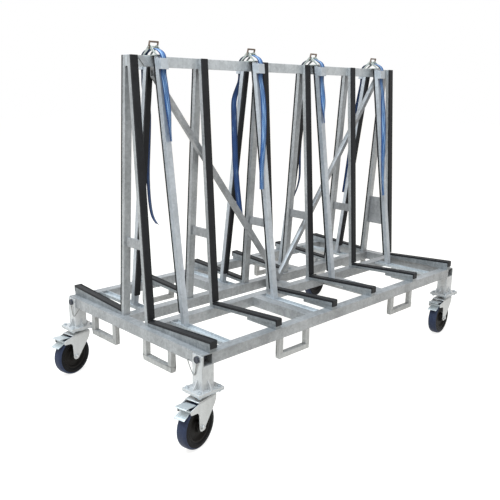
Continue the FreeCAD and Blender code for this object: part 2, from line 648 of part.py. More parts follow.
for tag, x in POLES:
    buckles.append(join("buckle_" + tag, buckle, x=x))
node("ratchet_frames", buckles)

# Lanyards: a bent wire from under each pin head, in a slack loop, to the end beam's outer face.
HEAD_X = "(post_size/2+pin_head_gap)"
WIRE_X = "-(post_size/2+wire_out)"
WIRE_LOW = "(deck_top-beam_size/2-wire_drop)"
lanyard = {}
for way in ("", "-"):
    route = [("-(%s+pin_head_thick/2)" % HEAD_X, "0", BEAM_MID + "-pin_head_radius-wire_gap"),
             (WIRE_X, way + "wire_first", WIRE_LOW), (WIRE_X, way + "wire_second", WIRE_LOW),
             ("-(beam_size/2+wire_size/2+wire_gap)", way + "wire_reach", BEAM_LOW + "+wire_end_rise")]
    points = [V(*[float(sheet_value(text)) for text in spot]) for spot in route]
    ring = Part.Circle(points[0], points[1] - points[0], sheet.get("wire_size") / 2)
    lanyard[way] = swept("lanyard_%d" % len(lanyard), points, Part.Wire(ring.toShape()))
wires = []
for tag, sx, sy, yaw in CORNERS:
    way = "" if tag in ("front_left", "rear_right") else "-"
    wires.append(join("lanyard_" + tag, [lanyard[way]], x=sx + CASTOR_X, y=sy + CASTOR_Y, yaw=yaw))
node("pin_lanyards", wires)

# Castor fork: swivel head and crown, two pressed legs with a horn for the pedal, axle and nuts.
RACE_LOW = "(%s-swivel_gap-race_high)" % PLATE_LOW
CONE_HIGH = "(race_high-race_ring_high)"
FORK_TOP = "(%s-crown_thick)" % RACE_LOW
HORN_TIP = "-(%s+horn_over)" % PEDAL_BACK
leg_shape = shape("fork_outline", [
    ("fork_front", FORK_TOP), ("-fork_neck", FORK_TOP), (HORN_TIP, PEDAL_PIVOT + "+horn_above"),
    (HORN_TIP, PEDAL_PIVOT + "-horn_under"), ("-fork_neck", PEDAL_PIVOT + "-neck_under"),
    ("-(trail+toe_radius)", "wheel_radius"), ("-(trail-toe_radius)", "wheel_radius"),
    ("fork_front", FORK_TOP + "-shoulder_fall")], "XZ")
fork = [fused("swivel_head", [
            cone("race_foot_cone", "race_foot", "race_radius", CONE_HIGH, "0", "0", RACE_LOW, "z"),
            drum("race_ring", "race_radius", "race_ring_high", "0", "0", RACE_LOW + "+" + CONE_HIGH, "z")]),
        box("crown", "-fork_neck", "-(fork_inside/2+fork_thick)", FORK_TOP, "fork_neck+fork_front",
            "fork_inside+2*fork_thick", "crown_thick"),
        drum("pedal_rod_solid", "pedal_rod", "fork_inside", "-" + PEDAL_BACK, "-fork_inside/2",
             PEDAL_PIVOT, "y"),
        drum("axle", "axle_radius", "fork_inside", "-trail", "-fork_inside/2", "wheel_radius", "y")]
for tag, way, axis, face in (("near", "-1", "back", "-fork_inside/2"), ("far", "1", "y", "fork_inside/2")):
    blade = sweep("fork_blade_" + tag, leg_shape, ("0", way, "0"), "fork_thick", y=face)
    toe = drum("fork_toe_" + tag, "toe_radius", "fork_thick", "-trail", face, "wheel_radius", axis)
    fork.append(fused("fork_leg_" + tag, [blade, toe]))
    fork.append(hexagon("axle_nut_" + tag, "nut_radius", "nut_high", "-trail",
                        "%s+(%s)*fork_thick" % (face, way), "wheel_radius", axis))

# Wheel: black tyre with sloped shoulders on a solid centre with a longer hub.
SHOULDER = "(wheel_radius-shoulder_drop)"
TYRE_WIDE = "(tread_wide+2*shoulder_wide)"
tyre_solid = fused("tyre_solid", [
    drum("tread", "wheel_radius", "tread_wide", "-trail", "-tread_wide/2", "wheel_radius", "y"),
    cone("shoulder_far", "wheel_radius", SHOULDER, "shoulder_wide", "-trail", "tread_wide/2",
         "wheel_radius", "y"),
    cone("shoulder_near", "wheel_radius", SHOULDER, "shoulder_wide", "-trail", "-tread_wide/2",
         "wheel_radius", "back")])
tyre_bore = drum("tyre_bore", "core_radius", TYRE_WIDE, "-trail", "-%s/2" % TYRE_WIDE, "wheel_radius", "y")
tyre = less("tyre", tyre_solid, [tyre_bore])
core_solid = fused("core_solid", [
    drum("core_disc", "core_radius", "core_wide", "-trail", "-core_wide/2", "wheel_radius", "y"),
    drum("hub", "hub_radius", "hub_wide", "-trail", "-hub_wide/2", "wheel_radius", "y")])
core_bore = drum("core_bore", "axle_radius+axle_play", "hub_wide", "-trail", "-hub_wide/2",
                 "wheel_radius", "y")
core = less("core", core_solid, [core_bore])

# Brake pedal: a pivot barrel between the horns with a wide lower tongue and a release tongue,
# each rolled over into a lip at its end.
PEDAL_LOW = "(%s-tongue_thick/2)" % PEDAL_PIVOT
PEDAL_HIGH = "(%s+tongue_thick/2)" % PEDAL_PIVOT
tongue = section("tongue_section", "pedal_wide", "tongue_thick", plane="YZ")
release = section("release_section", "release_wide", "tongue_thick", plane="YZ")
pedal_solid = fused("pedal_solid", [
    drum("pedal_tube", "pedal_barrel", "pedal_long", "-" + PEDAL_BACK, "-pedal_long/2", PEDAL_PIVOT, "y"),
    sweep("lower_tongue", tongue, ("-1", "0", "-pedal_drop/pedal_reach"), "pedal_reach", "-" + PEDAL_BACK,
          "0", PEDAL_LOW),
    drum("lower_lip", "lip_radius", "pedal_wide", "-(%s+pedal_reach)" % PEDAL_BACK, "-pedal_wide/2",
         PEDAL_LOW + "-pedal_drop", "y"),
    sweep("release_tongue", release, ("-1", "0", "release_rise/release_reach"), "release_reach",
          "-" + PEDAL_BACK, "0", PEDAL_HIGH),
    drum("release_lip", "lip_radius", "release_wide", "-(%s+release_reach)" % PEDAL_BACK, "-release_wide/2",
         PEDAL_HIGH + "+release_rise", "y")])
pedal_bore = drum("pedal_bore", "pedal_rod+axle_play", "pedal_long", "-" + PEDAL_BACK, "-pedal_long/2",
                  PEDAL_PIVOT, "y")
pedal = less("pedal", pedal_solid, [pedal_bore])

# Locking pin: round head outside the post, shank through post and beam wall.
pin = fused("pin", [
    drum("pin_shank", "pin_radius", HEAD_X + "+pin_inside", "-" + HEAD_X, "0", BEAM_MID, "x"),
    drum("pin_head", "pin_head_radius", "pin_head_thick", "-%s-pin_head_thick" % HEAD_X, "0", BEAM_MID,
         "x")])

for tag, sx, sy, yaw in CORNERS:
    spot = {"x": sx + CASTOR_X, "y": sy + CASTOR_Y}
    turn = "turn_left" if sx else "turn_right"
    node("castor_fork_" + tag, fork, yaw=turn, **spot)
    node("castor_wheel_" + tag, [tyre, core], yaw=turn, **spot)
    node("brake_pedal_" + tag, [pedal], yaw=turn, **spot)
    node("locking_pin_" + tag, [pin], yaw=yaw, **spot)

# Clamping poles: leaning tube on a shoe that runs in its track, a strap loop near the top,
# and rubber on the face towards the glass.
pole_ring = section("pole_ring", "pole_wide", "pole_deep", "pole_wall")
loop_ring = section("loop_ring", "loop_wide", "loop_deep", "loop_wall")
pole_facing = section("pole_facing", "pole_rubber_wide", "pole_rubber_thick")
UPRIGHT = ("0", POLE_LEAN, "1")
LOOP_LOW = "(frame_top-loop_fall)"


def pole_face(height):
    """Distance of a pole's outer face from the middle at a height."""
    return "(pole_foot_out-%s*((%s)-%s))" % (POLE_LEAN, height, POLE_FOOT)


pole = [sweep("pole_tube", pole_ring, UPRIGHT, "%s-%s" % (POLE_TOP, POLE_FOOT), "0",
              "-(pole_foot_out-pole_deep/2)", POLE_FOOT),
        box("pole_shoe", "-shoe_wide/2", "-(pole_foot_out-(pole_deep-shoe_long)/2)",
            POLE_FOOT + "-shoe_high", "shoe_wide", "shoe_long", "shoe_high"),
        sweep("strap_loop", loop_ring, UPRIGHT, "loop_high", "0",
              "-(%s+loop_deep/2)" % pole_face(LOOP_LOW), LOOP_LOW)]
STRIP_LOW = "(%s+pole_rubber_lift)" % POLE_FOOT
pole_strip = sweep("pole_strip", pole_facing, UPRIGHT, "%s-%s" % (POLE_TOP, STRIP_LOW), "0",
                   "-(%s-pole_deep-pole_rubber_thick/2)" % pole_face(STRIP_LOW), STRIP_LOW)

# Straps: webbing from the spool over a knee, down through the loop, and on as a free tail. Some
# tails lie along the pole's outer face; others slip off its side and hang down beside it.
STRAP_HEAD = [("strap_end_out", "frame_top+strap_end_rise"),
              ("strap_brow_out", "frame_top+strap_brow_rise"),
              ("strap_knee_out", "frame_top+strap_knee_rise"),
              ("strap_loop_out", "frame_top-strap_loop_fall"),
              ("strap_rest_out", "frame_top-strap_rest_fall")]
# Points of each tail: aside of the pole's middle, off its outer face, and down from under the loop.
TAIL_ROUTES = {
    "front_a": ((2, 12, 30), (4, 13, 76), (5, 12, 136), (5, 9, 210), (4, 5, 282)),
    "front_b": ((0, 16, 40), (-2, 22, 95), (-5, 24, 160), (-10, 20, 240), (-19, 12, 328), (-33, 1, 418),
                (-37, -9, 490), (-38, -15, 540)),
    "front_c": ((0, 9, 28), (-1, 8.5, 68), (-3, 7, 116), (-4, 5, 172), (-5, 2.5, 226)),
    "front_d": ((0, 14, 40), (-1, 15, 95), (-4, 13, 165), (-8, 10, 250), (-14, 7, 345), (-21, 5, 445),
                (-27, 3.5, 540), (-31, 3, 610), (-33, 3, 670)),
    "rear_a": ((-3, 12, 30), (-11, 14, 70), (-23, 13, 112), (-34, 7, 158), (-37, 1, 215), (-37, -4, 280),
               (-36, -9, 360), (-35, -15, 445), (-35, -30, 530), (-36, -46, 595), (-37, -63, 638),
               (-38, -84, 662), (-38, -107, 676)),
    "rear_b": ((2, 12, 25), (10, 15, 55), (22, 13, 85), (34, 5, 120), (38, -6, 162), (38, -16, 216),
               (37, -27, 286), (37, -42, 366), (37, -61, 450), (38, -83, 530), (38, -106, 604),
               (38, -124, 664), (37, -136, 705)),
    "rear_c": ((-3, 12, 30), (-11, 14, 68), (-23, 13, 108), (-34, 7, 152), (-38, 2, 205), (-38, -3, 270),
               (-37, -9, 345), (-37, -18, 425), (-38, -31, 495), (-38, -38, 550), (-37, -34, 597),
               (-37, -23, 636), (-37, -13, 665)),
    "rear_d": ((1, 12, 36), (3, 13, 86), (6, 12, 150), (9, 10, 230), (11, 8, 325), (12, 6, 430),
               (12, 4, 530), (11, 3, 615), (10, 3.5, 690)),
}


def strap_route(name):
    """Points of a strap at its pole: its shaped head, then its tail."""
    route = [V(0, -float(sheet_value(out)), float(sheet_value(height))) for out, height in STRAP_HEAD]
    for aside, off, down in TAIL_ROUTES[name]:
        height = "(frame_top-strap_rest_fall-%s)" % down
        route.append(V(aside, -float(sheet_value(pole_face(height))) - off, float(sheet_value(height))))
    return route


for side, yaw in SIDES:
    for tag, x in POLES:
        name = "%s_%s" % (side, tag)
        node("pole_" + name, pole, x=x, yaw=yaw)
        node("pole_rubber_" + name, [pole_strip], x=x, yaw=yaw)
        points = strap_route(name)
        across = V(sheet.get("strap_wide") / 2, 0, 0)
        ahead = (points[1] - points[0]).normalize()
        through = V(1, 0, 0).cross(ahead) * (sheet.get("strap_thick") / 2)
        corners = [points[0] + across + through, points[0] - across + through,
                   points[0] - across - through, points[0] + across - through]
        webbing = swept("webbing_" + name, points, Part.makePolygon(corners + corners[:1]))
        node("strap_" + name, [webbing], x=x, yaw=yaw)

# Buckle handles: two side plates outside the buckle and a grip across them.
handle_section = section("handle_section", "handle_plate", "handle_deep")
HANDLE_X = "(buckle_wide/2+handle_gap+handle_plate/2)"
HANDLE_WIDE = "(buckle_wide+2*handle_gap+2*handle_plate)"
FORWARD = ("0", "-handle_lean/handle_rise", "1")
HANDLE_LOW = PIVOT_Z + "-handle_drop"
HANDLE_Y = "handle_drop*handle_lean/handle_rise"
arms = []
for tag, sign in (("left", "-"), ("right", "")):
    arms.append(sweep("handle_" + tag, handle_section, FORWARD, "handle_rise+handle_drop",
                      sign + HANDLE_X, HANDLE_Y, HANDLE_LOW))
grip = drum("grip", "grip_radius", HANDLE_WIDE, "-%s/2" % HANDLE_WIDE, "-handle_lean",
            PIVOT_Z + "+handle_rise", "x")
handle_bore = drum("handle_bore", "stub_radius+axle_play", HANDLE_WIDE, "-%s/2" % HANDLE_WIDE, "0",
                   PIVOT_Z, "x")
handle = less("handle", fused("handle_solid", arms + [grip]), [handle_bore])
for tag, x in POLES:
    node("ratchet_handle_" + tag, [handle], x=x)

doc.recompute()
bad = [obj.Name for obj in doc.Objects if "Invalid" in obj.State or "Error" in obj.State]
bad += [obj.Name for obj in NODES if obj.Shape.isNull() or not obj.Shape.isValid()]
if bad:
    raise RuntimeError("objects that did not build: " + ", ".join(bad))

os.makedirs("parts", exist_ok=True)
for obj in NODES:
    obj.Shape.exportStep("parts/%s.step" % obj.Label)
print("wrote", len(NODES), "parts")
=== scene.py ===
"""Looks of the glazing trolley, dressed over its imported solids.

A galvanised base on four braked castors carries a leaning frame faced with rubber. Eight
clamping poles are drawn in by blue webbing from four ratchet buckles. Lengths are in metres.
"""

import json
import math

import bpy
from mathutils import Matrix, Vector


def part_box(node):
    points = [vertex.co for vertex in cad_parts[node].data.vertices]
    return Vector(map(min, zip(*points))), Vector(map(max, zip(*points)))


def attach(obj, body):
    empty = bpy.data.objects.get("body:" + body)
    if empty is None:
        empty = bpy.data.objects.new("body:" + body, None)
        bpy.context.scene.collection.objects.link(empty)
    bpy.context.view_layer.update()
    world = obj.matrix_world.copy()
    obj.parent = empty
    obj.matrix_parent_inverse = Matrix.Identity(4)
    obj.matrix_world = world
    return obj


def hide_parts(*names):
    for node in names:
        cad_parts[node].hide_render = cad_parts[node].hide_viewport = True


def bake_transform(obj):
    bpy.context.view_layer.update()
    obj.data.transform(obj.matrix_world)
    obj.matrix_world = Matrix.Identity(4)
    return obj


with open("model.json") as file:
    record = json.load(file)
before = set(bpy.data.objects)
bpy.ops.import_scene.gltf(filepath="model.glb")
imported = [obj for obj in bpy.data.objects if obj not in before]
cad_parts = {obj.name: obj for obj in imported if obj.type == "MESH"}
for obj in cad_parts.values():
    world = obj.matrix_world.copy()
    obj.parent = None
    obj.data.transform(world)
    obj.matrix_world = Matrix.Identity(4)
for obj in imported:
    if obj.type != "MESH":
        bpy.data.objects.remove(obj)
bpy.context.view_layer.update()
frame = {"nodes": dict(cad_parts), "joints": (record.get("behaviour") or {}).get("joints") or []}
nodes = frame["nodes"]
joints = {joint["name"]: joint for joint in frame["joints"]}

# Base beams: square steel tube, welded up and then dipped whole in molten zinc. The zinc sets
# in dull pale crystals with clouds and faint runs, and every galvanised piece shares that skin.
WELD_REACH = 0.00001
FLAT_ANGLE = math.radians(1)
SHARP_ANGLE = math.radians(30)
EDGE_STEPS = 2
BEAM_EDGE = 0.0028
CLOUD_SCALE = 6.0
RUN_SCALE = (46, 46, 4)
SPECK_SCALE = 420
MOTTLE_DULL = 0.6
MOTTLE_PALE = 1.05
ZINC_METALLIC = 0.45
ZINC_RELIEF = 0.0006


def add_node(tree, kind, takes=(), **settings):
    """Node with its settings; takes maps an input to a value, or to an output to link."""
    made = tree.nodes.new(kind)
    for name, value in settings.items():
        setattr(made, name, value)
    for name, value in dict(takes).items():
        if isinstance(value, bpy.types.NodeSocket):
            tree.links.new(value, made.inputs[name])
        else:
            made.inputs[name].default_value = value
    return made


def weighed(tree, *parts):
    """Sum of outputs, each times its weight."""
    total = 0.0
    for output, weight in parts:
        takes = {0: output, 1: weight, 2: total}
        total = add_node(tree, "ShaderNodeMath", takes, operation="MULTIPLY_ADD").outputs[0]
    return total


def spread(tree, value, low, high, to_low=0.0, to_high=1.0):
    """Value from low to high, spread over another span."""
    takes = {"Value": value, "From Min": low, "From Max": high, "To Min": to_low, "To Max": to_high}
    return add_node(tree, "ShaderNodeMapRange", takes).outputs["Result"]


def between(tree, share, first, second):
    """Colour between two colours."""
    takes = {0: share, 6: first, 7: second}
    return add_node(tree, "ShaderNodeMix", takes, data_type="RGBA").outputs[2]


def noise(tree, vector, scale, detail):
    """Soft noise of some scale and detail."""
    takes = {"Vector": vector, "Scale": scale, "Detail": detail}
    return add_node(tree, "ShaderNodeTexNoise", takes).outputs["Fac"]


def new_skin(name, **takes):
    """Node group that puts out a skin's colour, roughness and height, with its inner sockets."""
    group = bpy.data.node_groups.new(name, "ShaderNodeTree")
    for label, kind in takes.items():
        group.interface.new_socket(label, in_out="INPUT", socket_type="NodeSocket" + kind)
    for label, kind in (("Color", "Color"), ("Roughness", "Float"), ("Height", "Float")):
        group.interface.new_socket(label, in_out="OUTPUT", socket_type="NodeSocket" + kind)
    return group, group.nodes.new("NodeGroupInput").outputs, group.nodes.new("NodeGroupOutput").inputs


zinc_skin, given, wanted = new_skin("zinc_skin", Pale="Color", Dull="Color", Spangle="Float")
spot = add_node(zinc_skin, "ShaderNodeTexCoord").outputs["Object"]
crystals = add_node(zinc_skin, "ShaderNodeTexVoronoi", {"Vector": spot, "Scale": given["Spangle"]})
crystal = add_node(zinc_skin, "ShaderNodeSeparateColor", {"Color": crystals.outputs["Color"]}).outputs[0]
hanging = add_node(zinc_skin, "ShaderNodeMapping", {"Vector": spot, "Scale": RUN_SCALE}).outputs[0]
clouds = noise(zinc_skin, spot, CLOUD_SCALE, detail=4.0)
runs = noise(zinc_skin, hanging, 1.0, detail=2.0)
specks = noise(zinc_skin, spot, SPECK_SCALE, detail=2.0)
mottle = weighed(zinc_skin, (crystal, 0.22), (clouds, 0.85), (runs, 0.4), (specks, 0.2))
tone = spread(zinc_skin, mottle, MOTTLE_DULL, MOTTLE_PALE)
dullness = weighed(zinc_skin, (crystal, 0.12), (tone, -0.1), (1.0, 0.43))
lumps = weighed(zinc_skin, (crystal, 0.2), (runs, 0.8), (specks, 0.35))
zinc_skin.links.new(between(zinc_skin, tone, given["Dull"], given["Pale"]), wanted["Color"])
zinc_skin.links.new(dullness, wanted["Roughness"])
zinc_skin.links.new(lumps, wanted["Height"])


def skinned(name, skin, takes, relief, **sockets):
    """Material that wears a skin with a relief of some depth, and constants on its shader."""
    material = bpy.data.materials.new(name)
    material.use_nodes = True
    tree = material.node_tree
    shader = tree.nodes["Principled BSDF"]
    for label, value in sockets.items():
        shader.inputs[label.replace("_", " ")].default_value = value
    worn = add_node(tree, "ShaderNodeGroup", takes, node_tree=skin).outputs
    bump = add_node(tree, "ShaderNodeBump", {"Height": worn["Height"], "Distance": relief})
    tree.links.new(worn["Color"], shader.inputs["Base Color"])
    tree.links.new(worn["Roughness"], shader.inputs["Roughness"])
    tree.links.new(bump.outputs["Normal"], shader.inputs["Normal"])
    return material


def zinc(name, pale, dull, spangle, metallic=ZINC_METALLIC):
    """Galvanised finish between a pale and a dull colour, with crystals of some fineness."""
    takes = {"Pale": pale, "Dull": dull, "Spangle": spangle}
    return skinned(name, zinc_skin, takes, ZINC_RELIEF, Metallic=metallic)


def dress(name, material, edge):
    """Give a node its finish, and round its sharp edges as rolled or dipped steel is."""
    obj = nodes[name]
    obj.data.materials.clear()
    obj.data.materials.append(material)
    weld = obj.modifiers.new("weld", "WELD")
    weld.merge_threshold = WELD_REACH
    flat = obj.modifiers.new("flat", "DECIMATE")
    flat.decimate_type = "DISSOLVE"
    flat.angle_limit = FLAT_ANGLE
    rounding = obj.modifiers.new("rounding", "BEVEL")
    rounding.width = edge
    rounding.segments = EDGE_STEPS
    rounding.limit_method = "ANGLE"
    rounding.angle_limit = SHARP_ANGLE
    rounding.harden_normals = True


beam_zinc = zinc("beam_zinc", pale=(0.48, 0.487, 0.495, 1), dull=(0.285, 0.289, 0.294, 1), spangle=105)
for name in ("end_beams", "side_beams", "inner_beams", "cross_members"):
    dress(name, beam_zinc, BEAM_EDGE)

# Pole tracks: thin folded channel let in level with the deck, dipped with the base, so only their
# tone differs: it is painted paler than the beams' as painted light, for their lit tops and highlights.
TRACK_EDGE = 0.0008
# Painted light: paler zinc for the lit tops of the tracks and their highlights.
painted_light_track_zinc = zinc("painted_light_track_zinc", pale=(0.68, 0.71, 0.73, 1), dull=(0.46, 0.485, 0.5, 1), spangle=140)
dress("pole_tracks", painted_light_track_zinc, TRACK_EDGE)

# Fork hoops: flat-sided bar bent under the beams for the forks of a lift truck. They are
# welded on before the base is dipped, so zinc has run down and gathered on their feet.
HOOP_EDGE = 0.0025
hoop_zinc = zinc("hoop_zinc", pale=(0.54, 0.537, 0.527, 1), dull=(0.35, 0.348, 0.34, 1), spangle=95)
dress("fork_hoops", hoop_zinc, HOOP_EDGE)

# Castor posts: thick square tube on a foot plate, stiffened by small gussets, with an upstand
# beside the end beam. Cut and welded, then dipped; the castor's own plate, finer and brighter,
# is bolted under the foot afterwards.
POST_EDGE = 0.0012
PLATE_EDGE = 0.001
post_zinc = zinc("post_zinc", pale=(0.7, 0.703, 0.703, 1), dull=(0.52, 0.522, 0.522, 1), spangle=110)
dress("castor_posts", post_zinc, POST_EDGE)
plate_zinc = zinc("plate_zinc", pale=(0.58, 0.61, 0.63, 1), dull=(0.38, 0.4, 0.42, 1), spangle=260,
                  metallic=0.7)
dress("castor_plates", plate_zinc, PLATE_EDGE)

# Castor forks: pressed steel, bright zinc plated. Two legs run down from a crown to the axle
# and back to a horn that carries the brake pedal; the swivel head above holds two ball rows.
FORK_INSIDE = 0.033
FORK_THICK = 0.004
FORK_EDGE = 0.0011
TRAIL = 0.052
AXLE_HIGH = 0.1
AXLE_RADIUS = 0.006
TOE_RADIUS = 0.018
TOE_STEPS = 12
NECK = (-0.074, 0.174)
NECK_CUT = 0.016
SHOULDER = (0.042, 0.186)
SHOULDER_CUT = 0.02
HORN_LOW = (-0.126, 0.180)
HORN_HIGH = (-0.126, 0.200)
HORN_CUT = 0.006
CROWN_LOW = 0.21095
CROWN_THICK = 0.006
CROWN_EDGE = 0.0028
CROWN_STEPS = 3
HEAD_OUTLINE = [(0.012, 0.0), (0.030, 0.0), (0.036, 0.0075), (0.038, 0.0085), (0.038, 0.0115),
                (0.0365, 0.0122), (0.0365, 0.0136), (0.038, 0.0143), (0.038, 0.017), (0.012, 0.017)]
WASHER_BORE = 0.004
WASHER_RADIUS = 0.0118
WASHER_THICK = 0.0012
NUT_RADIUS = 0.0108
NUT_HIGH = 0.0078
NUT_EDGE = 0.0007
ROD_AT = (-0.116, 0, 0.191)
ROD_RADIUS = 0.003
ROUND_STEPS = 4
PICK_REACH = 0.0001
CORNERS = ("front_left", "rear_left", "front_right", "rear_right")


def pick(piece, wanted_at):
    """Go to edit mode with only the corners of a piece selected whose place is wanted."""
    bpy.ops.object.mode_set(mode="EDIT")
    bpy.ops.mesh.select_mode(type="VERT")
    bpy.ops.mesh.select_all(action="DESELECT")
    bpy.ops.object.mode_set(mode="OBJECT")
    for corner in piece.data.vertices:
        corner.select = wanted_at(corner.co)
    bpy.ops.object.mode_set(mode="EDIT")


def ring_of(corners, fill):
    """New piece of one closed ring of corners, which are points of the frame."""
    bpy.ops.object.select_all(action="DESELECT")
    bpy.ops.mesh.primitive_circle_add(vertices=len(corners), radius=1, fill_type=fill)
    piece = bpy.context.object
    for vert, corner in zip(piece.data.vertices, corners):
        vert.co = corner
    return piece


def smoothed(piece):
    """Outward normals all over, and smooth shading up to the sharp edges."""
    bpy.ops.object.mode_set(mode="EDIT")
    bpy.ops.mesh.select_all(action="SELECT")
    bpy.ops.mesh.remove_doubles(threshold=WELD_REACH)
    bpy.ops.mesh.normals_make_consistent(inside=False)
    bpy.ops.object.mode_set(mode="OBJECT")
    bpy.ops.object.shade_smooth_by_angle(angle=SHARP_ANGLE)
    return piece


def rounded_edges(piece, edge, segments=EDGE_STEPS):
    """Round the sharp edges of the active piece for good."""
    rounding = piece.modifiers.new("rounding", "BEVEL")
    rounding.width = edge
    rounding.segments = segments
    rounding.limit_method = "ANGLE"
    rounding.angle_limit = SHARP_ANGLE
    bpy.ops.object.modifier_apply(modifier=rounding.name)
    return smoothed(piece)


def cut_plate(outline, rounds, start, thick, edge):
    """Plate square to Y cut to an outline of (x, z), with (corner, cut) pairs rounded."""
    plate = ring_of([(x, start, z) for x, z in outline], "NGON")
    for (x, z), cut in rounds:
        pick(plate, lambda co: abs(co.x - x) + abs(co.z - z) < PICK_REACH)
        bpy.ops.mesh.bevel(offset=cut, segments=ROUND_STEPS, affect="VERTICES")
    bpy.ops.object.mode_set(mode="EDIT")
    bpy.ops.mesh.select_all(action="SELECT")
    bpy.ops.mesh.extrude_region_move(TRANSFORM_OT_translate={"value": (0, thick, 0)})
    bpy.ops.object.mode_set(mode="OBJECT")
    return rounded_edges(smoothed(plate), edge)


def turned_piece(outline, steps):
    """Closed outline of (radius, across) spun about the Y axis."""
    piece = ring_of([(0, across, radius) for radius, across in outline], "NOTHING")
    bpy.ops.object.mode_set(mode="EDIT")
    bpy.ops.mesh.select_all(action="SELECT")
    bpy.ops.mesh.spin(steps=steps, angle=2 * math.pi, center=(0, 0, 0), axis=(0, 1, 0))
    bpy.ops.object.mode_set(mode="OBJECT")
    return smoothed(piece)


def turned_tube(bore, radius, start, end, steps):
    """Plain ring or tube about the Y axis, or a solid rod where it has no bore."""
    return turned_piece([(bore, start), (radius, start), (radius, end), (bore, end)], steps)


def moved(piece, matrix):
    """The piece with a placement put into its mesh."""
    piece.data.transform(matrix)
    piece.data.update()
    return piece


def block(low, high, edge, segments):
    """Block between two corners with rounded edges."""
    bpy.ops.object.select_all(action="DESELECT")
    bpy.ops.mesh.primitive_cube_add(size=1)
    piece = bpy.context.object
    size = Vector(high) - Vector(low)
    moved(piece, Matrix.Translation((Vector(low) + Vector(high)) / 2) @ Matrix.Diagonal((*size, 1)))
    return rounded_edges(piece, edge, segments)


def hexagon(radius, high, edge):
    """Six-sided nut standing on the origin along Y."""
    bpy.ops.object.select_all(action="DESELECT")
    bpy.ops.mesh.primitive_cylinder_add(vertices=6, radius=radius, depth=high)
    piece = bpy.context.object
    moved(piece, Matrix.Rotation(-math.pi / 2, 4, "X") @ Matrix.Translation((0, 0, high / 2)))
    return rounded_edges(piece, edge)


def welded_into_one(pieces, name):
    """Several pieces joined as one."""
    bpy.ops.object.select_all(action="DESELECT")
    for piece in pieces:
        piece.select_set(True)
    bpy.context.view_layer.objects.active = pieces[0]
    bpy.ops.object.join()
    pieces[0].name = name
    return pieces[0]


def put(master, name, matrix, body, material=None):
    """Copy of a modelled piece at its place, riding on its body."""
    piece = bpy.data.objects.new(name, master.data.copy())
    bpy.context.scene.collection.objects.link(piece)
    moved(piece, matrix)
    if material:
        piece.data.materials.clear()
        piece.data.materials.append(material)
    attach(piece, body)
    return piece


def meets_toe(point, turn):
    """Angle on the round toe at which the straight edge from a point runs into it."""
    out_x, out_z = point[0] + TRAIL, point[1] - AXLE_HIGH
    return math.atan2(out_z, out_x) + turn * math.acos(TOE_RADIUS / math.hypot(out_x, out_z))


leg_outline = [(SHOULDER[0], CROWN_LOW), (NECK[0], CROWN_LOW), HORN_HIGH, HORN_LOW, NECK]
toe_from, toe_to = meets_toe(NECK, 1), meets_toe(SHOULDER, -1) + 2 * math.pi
for step in range(TOE_STEPS + 1):
    angle = toe_from + (toe_to - toe_from) * step / TOE_STEPS
    leg_outline.append((-TRAIL + TOE_RADIUS * math.cos(angle), AXLE_HIGH + TOE_RADIUS * math.sin(angle)))
leg_outline.append(SHOULDER)
leg_rounds = [(NECK, NECK_CUT), (SHOULDER, SHOULDER_CUT), (HORN_HIGH, HORN_CUT), (HORN_LOW, HORN_CUT)]
fork_pieces = []
for start in (-FORK_INSIDE - FORK_THICK, FORK_INSIDE):
    fork_pieces.append(cut_plate(leg_outline, leg_rounds, start, FORK_THICK, FORK_EDGE))
crown_top = CROWN_LOW + CROWN_THICK
fork_pieces.append(block((NECK[0], -FORK_INSIDE - FORK_THICK, CROWN_LOW),
                         (SHOULDER[0], FORK_INSIDE + FORK_THICK, crown_top), CROWN_EDGE, CROWN_STEPS))
head = turned_piece([(radius, crown_top + up) for radius, up in HEAD_OUTLINE], steps=48)
fork_pieces.append(moved(head, Matrix.Rotation(math.pi / 2, 4, "X")))
axle_at = Matrix.Translation((-TRAIL, 0, AXLE_HIGH))
rod_at = Matrix.Translation(ROD_AT)
for sign in (-1, 1):
    face = sign * (FORK_INSIDE + FORK_THICK)
    way = Matrix.Rotation(0 if sign > 0 else math.pi, 4, "X")
    at_face = axle_at @ Matrix.Translation((0, face, 0)) @ way
    washer = turned_tube(WASHER_BORE, WASHER_RADIUS, 0, WASHER_THICK, steps=32)
    fork_pieces.append(moved(washer, at_face))
    fork_pieces.append(moved(hexagon(NUT_RADIUS, NUT_HIGH, NUT_EDGE), at_face))
fork_pieces.append(moved(turned_tube(0.0, AXLE_RADIUS, -FORK_INSIDE, FORK_INSIDE, steps=24), axle_at))
fork_pieces.append(moved(turned_tube(0.0, ROD_RADIUS, -FORK_INSIDE, FORK_INSIDE, steps=16), rod_at))
fork_master = welded_into_one(fork_pieces, "fork_master")
fork_zinc = zinc("fork_zinc", pale=(0.67, 0.672, 0.668, 1), dull=(0.51, 0.512, 0.508, 1), spangle=300,
                 metallic=0.6)
castor_places = {}
for corner in CORNERS:
    swivel = joints["swivel_" + corner]["pos_m"]
    axis = joints["roll_" + corner]["axis"]
    turn = Matrix.Rotation(math.atan2(-axis[0], axis[1]), 4, "Z")
    castor_places[corner] = Matrix.Translation((swivel[0], swivel[1], 0)) @ turn
    fork = put(fork_master, "fork_" + corner, castor_places[corner], "castor_" + corner,
               fork_zinc)
    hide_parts("castor_fork_" + corner)
bpy.data.objects.remove(fork_master)

